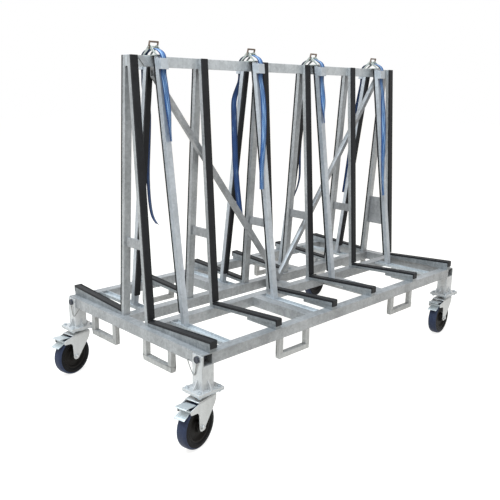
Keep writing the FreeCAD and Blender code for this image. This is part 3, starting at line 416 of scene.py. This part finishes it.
# Castor wheels: black elastic rubber with a rounded tread, bonded to a moulded black centre
# with a dished web and a long hub. The tread is scuffed a little greyer and bluer than the sides.
TYRE_HALF = 0.025
TYRE_SHOULDER = 0.078
TYRE_RISE = 0.022
TYRE_SQUARE = 0.5
TYRE_STEPS = 20
RIM_RADIUS = 0.0685
RIM_HALF = 0.0205
BEAD_STEP = 0.001
BEAD_RISE = 0.0035
CORE_HALF = [(0.0062, 0.03), (0.02, 0.03), (0.024, 0.0285), (0.0255, 0.016), (0.03, 0.0115),
             (0.052, 0.0095), (0.0575, 0.0125), (0.061, 0.0185), (0.0635, RIM_HALF), (RIM_RADIUS, RIM_HALF)]
WHEEL_STEPS = 64
TREAD_FROM = 0.0905
WIPE_SCALE = 14.0
SCUFF_SCALE = 90.0
DUST_FROM = 0.48
DUST_FULL = 0.85
RUBBER_GLOSS = 0.22
RUBBER_RELIEF = 0.0003
tyre_outline = [(RIM_RADIUS, RIM_HALF - BEAD_STEP), (RIM_RADIUS, BEAD_STEP - RIM_HALF),
                (RIM_RADIUS + BEAD_RISE, -RIM_HALF - BEAD_STEP)]
for step in range(TYRE_STEPS + 1):
    angle = math.pi * step / TYRE_STEPS
    across = -TYRE_HALF * math.copysign(abs(math.cos(angle)) ** TYRE_SQUARE, math.cos(angle))
    tyre_outline.append((TYRE_SHOULDER + TYRE_RISE * math.sin(angle) ** TYRE_SQUARE, across))
tyre_outline.append((RIM_RADIUS + BEAD_RISE, RIM_HALF + BEAD_STEP))
tyre_master = moved(turned_piece(tyre_outline, WHEEL_STEPS), axle_at)
core_outline = CORE_HALF + [(radius, -across) for radius, across in reversed(CORE_HALF)]
core_master = moved(turned_piece(core_outline, WHEEL_STEPS), axle_at)
rubber_skin, given, wanted = new_skin("rubber_skin", Colour="Color", Dust="Color", Grain="Float")
spot = add_node(rubber_skin, "ShaderNodeTexCoord").outputs["Object"]
grain = noise(rubber_skin, spot, given["Grain"], detail=3.0)
wiped = noise(rubber_skin, spot, WIPE_SCALE, detail=4.0)
scuffs = noise(rubber_skin, spot, SCUFF_SCALE, detail=1.0)
dusty = spread(rubber_skin, weighed(rubber_skin, (wiped, 0.7), (scuffs, 0.4)), DUST_FROM, DUST_FULL)
dullness = weighed(rubber_skin, (dusty, 0.2), (grain, 0.15), (1.0, 0.42))
pits = weighed(rubber_skin, (grain, 0.6), (scuffs, 0.4))
rubber_skin.links.new(between(rubber_skin, dusty, given["Colour"], given["Dust"]), wanted["Color"])
rubber_skin.links.new(dullness, wanted["Roughness"])
rubber_skin.links.new(pits, wanted["Height"])


def rubber(name, colour, dust, grain, gloss=RUBBER_GLOSS):
    """Rubber or moulded plastic with grain, and dust or scuffs of another colour."""
    takes = {"Colour": colour, "Dust": dust, "Grain": grain}
    return skinned(name, rubber_skin, takes, RUBBER_RELIEF, Specular_IOR_Level=gloss)


side_rubber = rubber("side_rubber", colour=(0.0045, 0.0042, 0.0045, 1), dust=(0.011, 0.0105, 0.0108, 1),
                     grain=700, gloss=0.12)
tread_rubber = rubber("tread_rubber", colour=(0.035, 0.046, 0.09, 1), dust=(0.07, 0.09, 0.155, 1),
                      grain=500)
core_plastic = rubber("core_plastic", colour=(0.008, 0.0068, 0.0058, 1), dust=(0.02, 0.017, 0.014, 1),
                      grain=900, gloss=0.15)
for finish in (side_rubber, tread_rubber):
    tyre_master.data.materials.append(finish)
hub_at = Vector((-TRAIL, 0, AXLE_HIGH))
for face in tyre_master.data.polygons:
    out = face.center - hub_at
    if math.hypot(out.x, out.z) > TREAD_FROM:
        face.material_index = 1
for corner in CORNERS:
    tyre = put(tyre_master, "tyre_" + corner, castor_places[corner], "wheel_" + corner)
    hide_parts("castor_wheel_" + corner)
    put(core_master, "wheel_centre_" + corner, castor_places[corner], "wheel_" + corner,
        core_plastic)
bpy.data.objects.remove(tyre_master)
bpy.data.objects.remove(core_master)

# Brake pedals: a rolled barrel on the rod between the horns, with a wide tongue to press and a
# shorter one above it to lift off, under a cover plate. All are bright plated sheet, and the
# tongue to press and the cover have their ends turned down.
BARREL_BORE = 0.0031
BARREL_RADIUS = 0.006
BARREL_HALF = 0.03
PRESS_PATH = [(-0.112, 0.1875), (-0.122, 0.1835), (-0.14, 0.1765), (-0.15, 0.1732), (-0.1555, 0.1708),
              (-0.1585, 0.167)]
RELEASE_PATH = [(-0.113, 0.1945), (-0.117, 0.1985), (-0.122, 0.2032), (-0.128, 0.2072), (-0.134, 0.2102)]
COVER_PATH = [(-0.0795, 0.2045), (-0.089, 0.2062), (-0.103, 0.2085), (-0.117, 0.2108), (-0.133, 0.2128),
              (-0.1455, 0.2135), (-0.1495, 0.2112)]
TONGUE_SHEET = 0.003
TONGUE_EDGE = 0.0008
TONGUE_ANGLE = math.radians(60)
WAIST_STEPS = 2
ACROSS_STEPS = 8


def tongue(path, half, waist):
    """Sheet bent along a path of (x, z), narrowed to a waist where it leaves the barrel."""
    bpy.ops.object.select_all(action="DESELECT")
    bpy.ops.mesh.primitive_grid_add(x_subdivisions=len(path) - 1, y_subdivisions=ACROSS_STEPS, size=2)
    piece = bpy.context.object
    for vert in piece.data.vertices:
        step = round((vert.co.x + 1) / 2 * (len(path) - 1))
        wide = half * (waist + (1 - waist) * min(1, step / WAIST_STEPS))
        vert.co = (path[step][0], vert.co.y * wide, path[step][1])
    for kind in ("SOLIDIFY", "BEVEL", "SUBSURF"):
        piece.modifiers.new(kind.lower(), kind)
    piece.modifiers["solidify"].thickness = TONGUE_SHEET
    piece.modifiers["solidify"].offset = 0
    piece.modifiers["bevel"].width = TONGUE_EDGE
    piece.modifiers["bevel"].segments = 1
    piece.modifiers["bevel"].limit_method = "ANGLE"
    piece.modifiers["bevel"].angle_limit = TONGUE_ANGLE
    for kind in ("solidify", "bevel", "subsurf"):
        bpy.ops.object.modifier_apply(modifier=kind)
    return smoothed(piece)


pedal_pieces = [
    moved(turned_tube(BARREL_BORE, BARREL_RADIUS, -BARREL_HALF, BARREL_HALF, steps=32), rod_at),
    tongue(PRESS_PATH, half=0.027, waist=0.85),
    tongue(RELEASE_PATH, half=0.02, waist=0.8),
    tongue(COVER_PATH, half=0.029, waist=0.9)]
pedal_master = welded_into_one(pedal_pieces, "pedal_master")
pedal_zinc = zinc("pedal_zinc", pale=(0.68, 0.72, 0.73, 1), dull=(0.5, 0.54, 0.56, 1), spangle=320,
                  metallic=0.65)
for corner in CORNERS:
    pedal = put(pedal_master, "pedal_" + corner, castor_places[corner], "pedal_" + corner,
                pedal_zinc)
    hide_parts("brake_pedal_" + corner)
bpy.data.objects.remove(pedal_master)

# Locking pins: turned dark steel, pushed through the post's upstand and the end beam. The head
# is a chamfered button with a shallow dish to push on.
PIN_RADIUS = 0.008
PIN_TIP = 0.015
PIN_TAPER = 0.002
PIN_TAPER_LONG = 0.003
PIN_HEAD_RADIUS = 0.015
PIN_HEAD_FACE = -0.040
PIN_HEAD_BACK = -0.032
PIN_DISH = [(0.0, 0.0012), (0.009, 0.0006), (0.0105, 0.0)]
FACE_CHAMFER = 0.0015
BACK_CHAMFER = 0.001
PIN_HIGH = 0.377
pin_outline = [(radius, PIN_HEAD_FACE + deep) for radius, deep in PIN_DISH]
pin_outline += [
    (PIN_HEAD_RADIUS - FACE_CHAMFER, PIN_HEAD_FACE), (PIN_HEAD_RADIUS, PIN_HEAD_FACE + FACE_CHAMFER),
    (PIN_HEAD_RADIUS, PIN_HEAD_BACK - BACK_CHAMFER), (PIN_HEAD_RADIUS - BACK_CHAMFER, PIN_HEAD_BACK),
    (PIN_RADIUS, PIN_HEAD_BACK), (PIN_RADIUS, PIN_TIP - PIN_TAPER_LONG),
    (PIN_RADIUS - PIN_TAPER, PIN_TIP), (0.0, PIN_TIP)]
pin_master = turned_piece(pin_outline, steps=40)
pin_steel = zinc("pin_steel", pale=(0.06, 0.065, 0.08, 1), dull=(0.03, 0.032, 0.045, 1), spangle=400,
                 metallic=0.5)
pin_places = {}
for corner in CORNERS:
    swivel = joints["swivel_" + corner]["pos_m"]
    facing = Matrix.Rotation(0 if swivel[0] < 0 else math.pi, 4, "Z")
    pin_places[corner] = Matrix.Translation((swivel[0], swivel[1], PIN_HIGH)) @ facing
    pin = put(pin_master, "pin_" + corner, pin_places[corner] @ Matrix.Rotation(-math.pi / 2, 4, "Z"),
              "pin_" + corner, pin_steel)
    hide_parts("locking_pin_" + corner)
bpy.data.objects.remove(pin_master)

# Lanyards: thin steel wire from under each pin head, in a slack loop, to the end beam's face.
WIRE_SIZE = 0.004
WIRE_ROUTE = [(-0.036, 0, -0.0156), (-0.034, 0.009, -0.072), (-0.034, 0.029, -0.072),
              (-0.0271, 0.068, -0.02)]
SPLINE_ORDER = 3
SPLINE_STEPS = 16
WIRE_ROUND_STEPS = 3
wire_steel = zinc("wire_steel", pale=(0.34, 0.33, 0.31, 1), dull=(0.2, 0.2, 0.19, 1), spangle=500,
                  metallic=0.6)


def spline_of(route, bevel=0.0):
    """Curve object of one smooth spline whose control points are the route's points."""
    curve = bpy.data.curves.new("route", "CURVE")
    curve.dimensions = "3D"
    curve.resolution_u = SPLINE_STEPS
    curve.bevel_depth = bevel
    curve.bevel_resolution = WIRE_ROUND_STEPS
    curve.use_fill_caps = True
    spline = curve.splines.new("NURBS")
    spline.points.add(len(route) - 1)
    for point, at in zip(spline.points, route):
        point.co = (*at, 1)
    spline.order_u = SPLINE_ORDER
    spline.use_endpoint_u = True
    obj = bpy.data.objects.new("route", curve)
    bpy.context.scene.collection.objects.link(obj)
    bpy.context.view_layer.update()
    return obj


def line_of(route):
    """Points read from the smooth spline of a route."""
    curve = spline_of(route)
    mesh = bpy.data.meshes.new_from_object(curve)
    line = [vert.co.copy() for vert in mesh.vertices]
    bpy.data.objects.remove(curve)
    bpy.data.meshes.remove(mesh)
    return line


for corner in CORNERS:
    inwards = 1 if corner in ("front_left", "rear_right") else -1
    route = [pin_places[corner] @ Vector((x, inwards * y, z)) for x, y, z in WIRE_ROUTE]
    line = line_of(route)
    curve = spline_of(route, WIRE_SIZE / 2)
    wire = bpy.data.objects.new("lanyard_" + corner, bpy.data.meshes.new_from_object(curve))
    bpy.data.objects.remove(curve)
    bpy.context.scene.collection.objects.link(wire)
    wire.data.materials.clear()
    wire.data.materials.append(wire_steel)
    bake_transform(wire)
    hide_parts("pin_lanyards")

# Support bars: flat steel sloping up to the outside on risers, all galvanised. A rubber strip
# lies along each bar and turns down over its outer end to save the edge of the glass.
BAR_EDGE = 0.001
STRIP_EDGE = 0.0018
bar_zinc = zinc("bar_zinc", pale=(0.365, 0.385, 0.398, 1), dull=(0.19, 0.203, 0.211, 1), spangle=100)
dress("support_bars", bar_zinc, BAR_EDGE)
strip_rubber = rubber("strip_rubber", colour=(0.013, 0.013, 0.0145, 1), dust=(0.03, 0.03, 0.0325, 1),
                      grain=420)
dress("support_rubbers", strip_rubber, STRIP_EDGE)

# Legs: six leaning pairs of rectangular tube, each faced on the outside with a rubber strip
# from just above the base to the top.
LEG_EDGE = 0.0012
leg_zinc = zinc("leg_zinc", pale=(0.52, 0.53, 0.535, 1), dull=(0.32, 0.328, 0.332, 1), spangle=90)
dress("legs", leg_zinc, LEG_EDGE)
dress("leg_rubbers", strip_rubber, STRIP_EDGE)

# Top rail, ties and diagonals: flat bar between the leg tops, cross ties between the legs of a
# pair, a web plate at the right end, and two long tube braces, welded in before dipping. A small
# plate on the side of the rail, leaning as the poles do, closes each brace's upper end.
POLE_FOOT = 0.403
POLE_TOP = 1.574
POLE_FOOT_OUT = 0.211
POLE_TOP_OUT = 0.05
END_SHEET = 0.008
END_EDGE = 0.0006
END_LOW = 1.5305
END_TALL = 0.045
END_WIDE = 0.0315
END_LOW_X = -0.851
END_HIGH_X = -0.886
rail_zinc = zinc("rail_zinc", pale=(0.67, 0.69, 0.7, 1), dull=(0.45, 0.465, 0.475, 1), spangle=95)
dress("top_rail", rail_zinc, LEG_EDGE)
brace_zinc = zinc("brace_zinc", pale=(0.47, 0.475, 0.483, 1), dull=(0.28, 0.284, 0.29, 1), spangle=95)
dress("braces", brace_zinc, LEG_EDGE)
pole_lean = (POLE_FOOT_OUT - POLE_TOP_OUT) / (POLE_TOP - POLE_FOOT)
end_outline = [(END_LOW_X, 0), (END_HIGH_X, END_TALL), (END_HIGH_X - END_WIDE, END_TALL),
               (END_LOW_X - END_WIDE, 0)]
end_master = cut_plate(end_outline, [], -END_SHEET, END_SHEET, END_EDGE)
end_at = Matrix.Translation((0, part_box("top_rail")[0].y, END_LOW))
moved(end_master, end_at @ Matrix.Rotation(-math.atan(pole_lean), 4, "X"))
for tag, yaw in (("left", 0), ("right", math.pi)):
    put(end_master, "brace_end_" + tag, Matrix.Rotation(yaw, 4, "Z"), "frame", brace_zinc)
bpy.data.objects.remove(end_master)

# Clamping poles: light rectangular tube on a shoe in its track, with a folded loop near the top
# for the strap and a rubber strip on the side towards the glass.
POLE_EDGE = 0.0009
SIDES = (("front", -1), ("rear", 1))
TAGS = "abcd"
pole_zinc = zinc("pole_zinc", pale=(0.635, 0.665, 0.7, 1), dull=(0.455, 0.478, 0.505, 1), spangle=85)
for side, sign in SIDES:
    for tag in TAGS:
        dress("pole_%s_%s" % (side, tag), pole_zinc, POLE_EDGE)
        dress("pole_rubber_%s_%s" % (side, tag), strip_rubber, STRIP_EDGE)

# Ratchet buckles: pressed plates arched over the rail, with a split spool, toothed wheels and a
# pawl between them, and a short handle in worn brown plate.
BUCKLE_EDGE = 0.0006
buckle_zinc = zinc("buckle_zinc", pale=(0.6, 0.64, 0.6, 1), dull=(0.36, 0.4, 0.38, 1), spangle=300,
                   metallic=0.8)
dress("ratchet_frames", buckle_zinc, BUCKLE_EDGE)
handle_plate = zinc("handle_plate", pale=(0.3, 0.225, 0.17, 1), dull=(0.12, 0.085, 0.07, 1), spangle=300,
                    metallic=0.6)
for tag in TAGS:
    dress("ratchet_handle_" + tag, handle_plate, BUCKLE_EDGE)

# Straps: woven blue webbing from the spool over a knee, through the loop on the pole, and on as
# a loose tail.
# The front straps have faded in pale streaks along their middle. The rear copy is painted shade:
# darker, with fewer pale streaks, for the shade the rear straps hang in behind the frame.
STRAP_WIDE = 0.03
STRAP_THICK = 0.002
STRAP_HEAD = [(0.014, 1.607), (0.046, 1.601), (0.0728, 1.577), (0.0728, 1.545), (0.07, 1.5)]
TAIL_HIGH = 1.5
TAIL_ROUTES = {
    "front_a": [
        (0.002, 0.012, 0.03), (0.004, 0.014, 0.076), (0.005, 0.016, 0.136), (0.005, 0.018, 0.21),
        (0.004, 0.018, 0.282)],
    "front_b": [
        (0, 0.016, 0.04), (-0.002, 0.022, 0.095), (-0.005, 0.024, 0.16), (-0.01, 0.02, 0.24),
        (-0.019, 0.015, 0.328), (-0.033, 0.01, 0.418), (-0.037, 0.005, 0.49), (-0.038, 0.001, 0.54)],
    "front_c": [
        (0, 0.011, 0.028), (-0.001, 0.012, 0.068), (-0.003, 0.014, 0.116), (-0.004, 0.016, 0.172),
        (-0.005, 0.016, 0.226)],
    "front_d": [
        (0, 0.016, 0.04), (-0.001, 0.019, 0.095), (-0.004, 0.02, 0.165), (-0.008, 0.019, 0.25),
        (-0.014, 0.017, 0.345), (-0.021, 0.014, 0.445), (-0.027, 0.01, 0.54), (-0.031, 0.01, 0.61),
        (-0.033, 0.01, 0.67)],
    "rear_a": [
        (-0.003, 0.012, 0.03), (-0.011, 0.014, 0.07), (-0.023, 0.013, 0.112), (-0.034, 0.007, 0.158),
        (-0.037, 0.001, 0.215), (-0.037, -0.004, 0.28), (-0.036, -0.009, 0.36), (-0.035, -0.015, 0.445),
        (-0.035, -0.03, 0.53), (-0.036, -0.046, 0.595), (-0.037, -0.063, 0.638), (-0.038, -0.084, 0.662),
        (-0.038, -0.107, 0.676)],
    "rear_b": [
        (0.002, 0.012, 0.025), (0.01, 0.015, 0.055), (0.022, 0.013, 0.085), (0.034, 0.005, 0.12),
        (0.038, -0.006, 0.162), (0.038, -0.016, 0.216), (0.037, -0.027, 0.286), (0.037, -0.042, 0.366),
        (0.037, -0.061, 0.45), (0.038, -0.083, 0.53), (0.038, -0.106, 0.604), (0.038, -0.124, 0.664),
        (0.037, -0.136, 0.705)],
    "rear_c": [
        (-0.003, 0.012, 0.03), (-0.011, 0.014, 0.068), (-0.023, 0.013, 0.108), (-0.034, 0.007, 0.152),
        (-0.038, 0.002, 0.205), (-0.038, -0.003, 0.27), (-0.037, -0.009, 0.345), (-0.037, -0.018, 0.425),
        (-0.038, -0.031, 0.495), (-0.038, -0.038, 0.55), (-0.037, -0.034, 0.597), (-0.037, -0.023, 0.636),
        (-0.037, -0.013, 0.665)],
    "rear_d": [
        (0.001, 0.012, 0.036), (0.003, 0.013, 0.086), (0.006, 0.012, 0.15), (0.009, 0.01, 0.23),
        (0.011, 0.008, 0.325), (0.012, 0.006, 0.43), (0.012, 0.004, 0.53), (0.011, 0.003, 0.615),
        (0.01, 0.0035, 0.69)]}
TAIL_TURNS = {"front_a": (4, -42), "front_b": (34, 10), "front_c": (30, -42), "front_d": (38, -8),
              "rear_a": (-20, -31), "rear_b": (40, 30), "rear_c": (-16, -22), "rear_d": (10, 14)}
TAIL_HOLLOWS = {"front_a": 0.5, "front_b": 0.9, "front_c": 0.7, "front_d": 0.7,
                "rear_a": 0.3, "rear_b": 0.5, "rear_c": 0.3, "rear_d": 0.4}
TURN_SHARE = 0.4
LEAST_CURL = 0.01
LOOP_RUN = 0.15
ACROSS_CUTS = 8
ROW_SCALE = 59.5238
ROW_WANDER = 0.6
RIB_SCALE = 89.2857
STREAK_SCALE = (260, 9, 1)
WEAR_SCALE = 26.0
# Darker strap edges: partly a darker woven selvedge, partly painted shade of the curled edges.
SELVEDGE_AND_SHADE_FROM = 0.006
SELVEDGE_AND_SHADE_TO = 0.0145
TONE_DEEP = 0.3
TONE_BRIGHT = 0.72
FADED_BLUE = (0.42, 0.61, 0.82, 1)
WEAVE_RELIEF = 0.0005
webbing_skin, given, wanted = new_skin("webbing_skin", Deep="Color", Bright="Color", Fading="Float",
                                       Faded="Float")
laid = add_node(webbing_skin, "ShaderNodeUVMap", uv_map="weave").outputs["UV"]
row_takes = {"Vector": laid, "Scale": ROW_SCALE, "Distortion": ROW_WANDER}
rows = add_node(webbing_skin, "ShaderNodeTexWave", row_takes, bands_direction="DIAGONAL").outputs["Fac"]
rib_takes = {"Vector": laid, "Scale": RIB_SCALE}
ribs = add_node(webbing_skin, "ShaderNodeTexWave", rib_takes, bands_direction="X").outputs["Fac"]
drawn = add_node(webbing_skin, "ShaderNodeMapping", {"Vector": laid, "Scale": STREAK_SCALE}).outputs[0]
streaks = noise(webbing_skin, drawn, 1.0, detail=3.0)
worn = noise(webbing_skin, laid, WEAR_SCALE, detail=3.0)
across = add_node(webbing_skin, "ShaderNodeSeparateXYZ", {"Vector": laid}).outputs["X"]
aside = add_node(webbing_skin, "ShaderNodeMath", {0: across}, operation="ABSOLUTE").outputs[0]
# Darker towards each edge, partly selvedge and partly painted shade; the pale streaks are kept off the
# edges too.
selvedge_and_shade = spread(webbing_skin, aside, SELVEDGE_AND_SHADE_FROM, SELVEDGE_AND_SHADE_TO)
weave = weighed(webbing_skin, (rows, 0.2), (ribs, 0.15), (worn, 0.25), (streaks, 0.6), (selvedge_and_shade, -0.28))
tone = spread(webbing_skin, weave, TONE_DEEP, TONE_BRIGHT)
dyed = between(webbing_skin, tone, given["Deep"], given["Bright"])
bleached = weighed(webbing_skin, (streaks, 1.0), (selvedge_and_shade, -0.14))
fade = spread(webbing_skin, bleached, given["Fading"], given["Faded"])
dullness = weighed(webbing_skin, (worn, 0.2), (1.0, 0.6))
threads = weighed(webbing_skin, (rows, 0.6), (ribs, 0.4))
webbing_skin.links.new(between(webbing_skin, fade, dyed, FADED_BLUE), wanted["Color"])
webbing_skin.links.new(dullness, wanted["Roughness"])
webbing_skin.links.new(threads, wanted["Height"])


def webbing_cloth(name, deep, bright, fading, faded):
    """Woven webbing from a deep to a bright colour, with pale streaks where the dye has faded."""
    takes = {"Deep": deep, "Bright": bright, "Fading": fading, "Faded": faded}
    return skinned(name, webbing_skin, takes, WEAVE_RELIEF, Sheen_Weight=0.15, Sheen_Roughness=0.5,
                   Specular_IOR_Level=0.3)


strap_cloth = {
    "front": webbing_cloth("strap_faded", deep=(0.011, 0.034, 0.125, 1), bright=(0.06, 0.185, 0.48, 1),
                           fading=0.47, faded=0.62),
    # Painted shade: the rear straps' copy is darker and less streaked for the shade behind the frame.
    "rear": webbing_cloth("strap_in_painted_shade", deep=(0.009, 0.022, 0.07, 1), bright=(0.035, 0.09, 0.26, 1),
                          fading=0.58, faded=0.75)}


def strap_route(name, x, sign):
    """Points of a strap: its shaped head, then its tail, laid along the pole's outer face."""
    route = [Vector((x, sign * out, high)) for out, high in STRAP_HEAD]
    for aside, off, down in TAIL_ROUTES[name]:
        high = TAIL_HIGH - down
        out = POLE_FOOT_OUT - pole_lean * (high - POLE_FOOT) + off
        route.append(Vector((x - sign * aside, sign * out, high)))
    return route


def eased(share):
    """Share from 0 to 1 with a soft start and end."""
    share = min(1, max(0, share))
    return share * share * (3 - 2 * share)


def ribbon(name, line, turns, hollow):
    """Webbing along a line; past its loop it hollows, and turns by two angles, part way and at its tip."""
    runs = [0.0]
    for before, after in zip(line, line[1:]):
        runs.append(runs[-1] + (after - before).length)
    half, count = STRAP_WIDE / 2, ACROSS_CUTS + 1
    middle, tip = turns
    corners, weave = [], []
    for index, at in enumerate(line):
        way = (line[min(index + 1, len(line) - 1)] - line[max(index - 1, 0)]).normalized()
        loose = (runs[index] - LOOP_RUN) / (runs[-1] - LOOP_RUN)
        first_part = eased(loose / TURN_SHARE)
        last_part = eased((loose - TURN_SHARE) / (1 - TURN_SHARE))
        turn = middle * first_part + (tip - middle) * last_part
        side = Vector((1, 0, 0)) - way * way.x
        side = Matrix.Rotation(math.radians(turn), 3, way) @ side.normalized()
        curl = max(hollow * first_part, LEAST_CURL)
        for cut in range(count):
            across = 2 * cut / ACROSS_CUTS - 1
            wide = half * math.sin(curl * across) / curl
            deep = half * (1 - math.cos(curl * across)) / curl
            corners.append(at + side * wide + side.cross(way) * deep)
            weave.append((half * across, runs[index]))
    faces = []
    for index in range(len(line) - 1):
        for cut in range(ACROSS_CUTS):
            first = index * count + cut
            faces.append((first, first + 1, first + 1 + count, first + count))
    mesh = bpy.data.meshes.new(name)
    mesh.from_pydata(corners, [], faces)
    layer = mesh.uv_layers.new(name="weave")
    for loop in mesh.loops:
        layer.data[loop.index].uv = weave[loop.vertex_index]
    piece = bpy.data.objects.new(name, mesh)
    bpy.context.scene.collection.objects.link(piece)
    bpy.ops.object.select_all(action="DESELECT")
    piece.select_set(True)
    bpy.context.view_layer.objects.active = piece
    sheet = piece.modifiers.new("sheet", "SOLIDIFY")
    sheet.thickness = STRAP_THICK
    sheet.offset = 0
    bpy.ops.object.modifier_apply(modifier=sheet.name)
    return smoothed(piece)


for side, sign in SIDES:
    for tag in TAGS:
        name = "%s_%s" % (side, tag)
        low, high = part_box("pole_" + name)
        route = strap_route(name, (low.x + high.x) / 2, sign)
        line = line_of(route)
        strap = ribbon("webbing_" + name, line, TAIL_TURNS[name], TAIL_HOLLOWS[name])
        strap.data.materials.append(strap_cloth[side])
        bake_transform(strap)
        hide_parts("strap_" + name)

# Floor, light and camera: a plain pale floor under an even sky with one wide soft lamp above.
# The camera stands at the photograph's place, near the front left corner.
WHITE = (1, 1, 1, 1)
FLOOR_HALF = 30.0
FLOOR_PALE = (0.47, 0.45, 0.41, 1)
SKY_STRENGTH = 0.46
SKY_WARM = (1.0, 0.965, 0.915, 1)
FLOOR_LIFT = 1 - min(FLOOR_PALE) * SKY_STRENGTH * min(SKY_WARM)
LAMP_SIZE = 5.0
LAMP_POWER = 350.0
LAMP_COOL = (0.76, 0.895, 1.0)
LAMP_AT = Vector((-2.2, -0.4, 5.0))
LAMP_AIM = Vector((0, 0, 0.6))
SENSOR_WIDE = 36.0
LENS_LONG = 46.224
CAMERA_AT = (-2.5534, -2.3620, 1.4252)
CAMERA_YAW = math.radians(44.62)
CAMERA_PITCH = math.radians(-13.72)
CAMERA_ROLL = math.radians(0.76)


def seen_itself(tree):
    """Output that is 1 where the camera, a reflection or a clear piece shows the stage itself."""
    paths = add_node(tree, "ShaderNodeLightPath").outputs
    seen = paths["Is Camera Ray"]
    for ray in ("Is Glossy Ray", "Is Transmission Ray"):
        takes = {0: seen, 1: paths[ray]}
        seen = add_node(tree, "ShaderNodeMath", takes, operation="ADD", use_clamp=True).outputs[0]
    return seen


bpy.ops.object.select_all(action="DESELECT")
bpy.ops.mesh.primitive_plane_add(size=2 * FLOOR_HALF)
floor = bpy.context.object
floor.name = "floor"
floor_white = bpy.data.materials.new("floor_white")
floor_white.use_nodes = True
tree = floor_white.node_tree
tree.nodes.clear()
seen = seen_itself(tree)
matt = add_node(tree, "ShaderNodeBsdfDiffuse", {"Color": FLOOR_PALE}).outputs[0]
lift = add_node(tree, "ShaderNodeMath", {0: seen, 1: FLOOR_LIFT}, operation="MULTIPLY").outputs[0]
glow = add_node(tree, "ShaderNodeEmission", {"Color": WHITE, "Strength": lift}).outputs[0]
both = add_node(tree, "ShaderNodeAddShader", {0: matt, 1: glow}).outputs[0]
add_node(tree, "ShaderNodeOutputMaterial", {"Surface": both})
floor.data.materials.append(floor_white)

world = bpy.data.worlds.new("even_sky")
bpy.context.scene.world = world
world.use_nodes = True
tree = world.node_tree
tree.nodes.clear()
seen = seen_itself(tree)
strength = spread(tree, seen, 0.0, 1.0, SKY_STRENGTH, 1.0)
tint = between(tree, seen, SKY_WARM, WHITE)
sky = add_node(tree, "ShaderNodeBackground", {"Color": tint, "Strength": strength}).outputs[0]
add_node(tree, "ShaderNodeOutputWorld", {"Surface": sky})

lamp = bpy.data.lights.new("soft_lamp", "AREA")
lamp.shape = "DISK"
lamp.size = LAMP_SIZE
lamp.energy = LAMP_POWER
lamp.color = LAMP_COOL
lamp_place = bpy.data.objects.new("soft_lamp", lamp)
lamp_place.location = LAMP_AT
lamp_place.rotation_euler = (LAMP_AIM - LAMP_AT).to_track_quat("-Z", "Y").to_euler()
bpy.context.scene.collection.objects.link(lamp_place)

camera = bpy.data.cameras.new("camera")
camera.sensor_width = SENSOR_WIDE
camera.lens = LENS_LONG
stand = bpy.data.objects.new("camera", camera)
aim = Matrix.Rotation(-CAMERA_YAW, 4, "Z") @ Matrix.Rotation(math.pi / 2 + CAMERA_PITCH, 4, "X")
stand.matrix_world = Matrix.Translation(CAMERA_AT) @ aim @ Matrix.Rotation(CAMERA_ROLL, 4, "Z")
bpy.context.scene.collection.objects.link(stand)
bpy.context.scene.camera = stand
bpy.context.scene.view_settings.view_transform = "Standard"

bpy.context.view_layer.update()
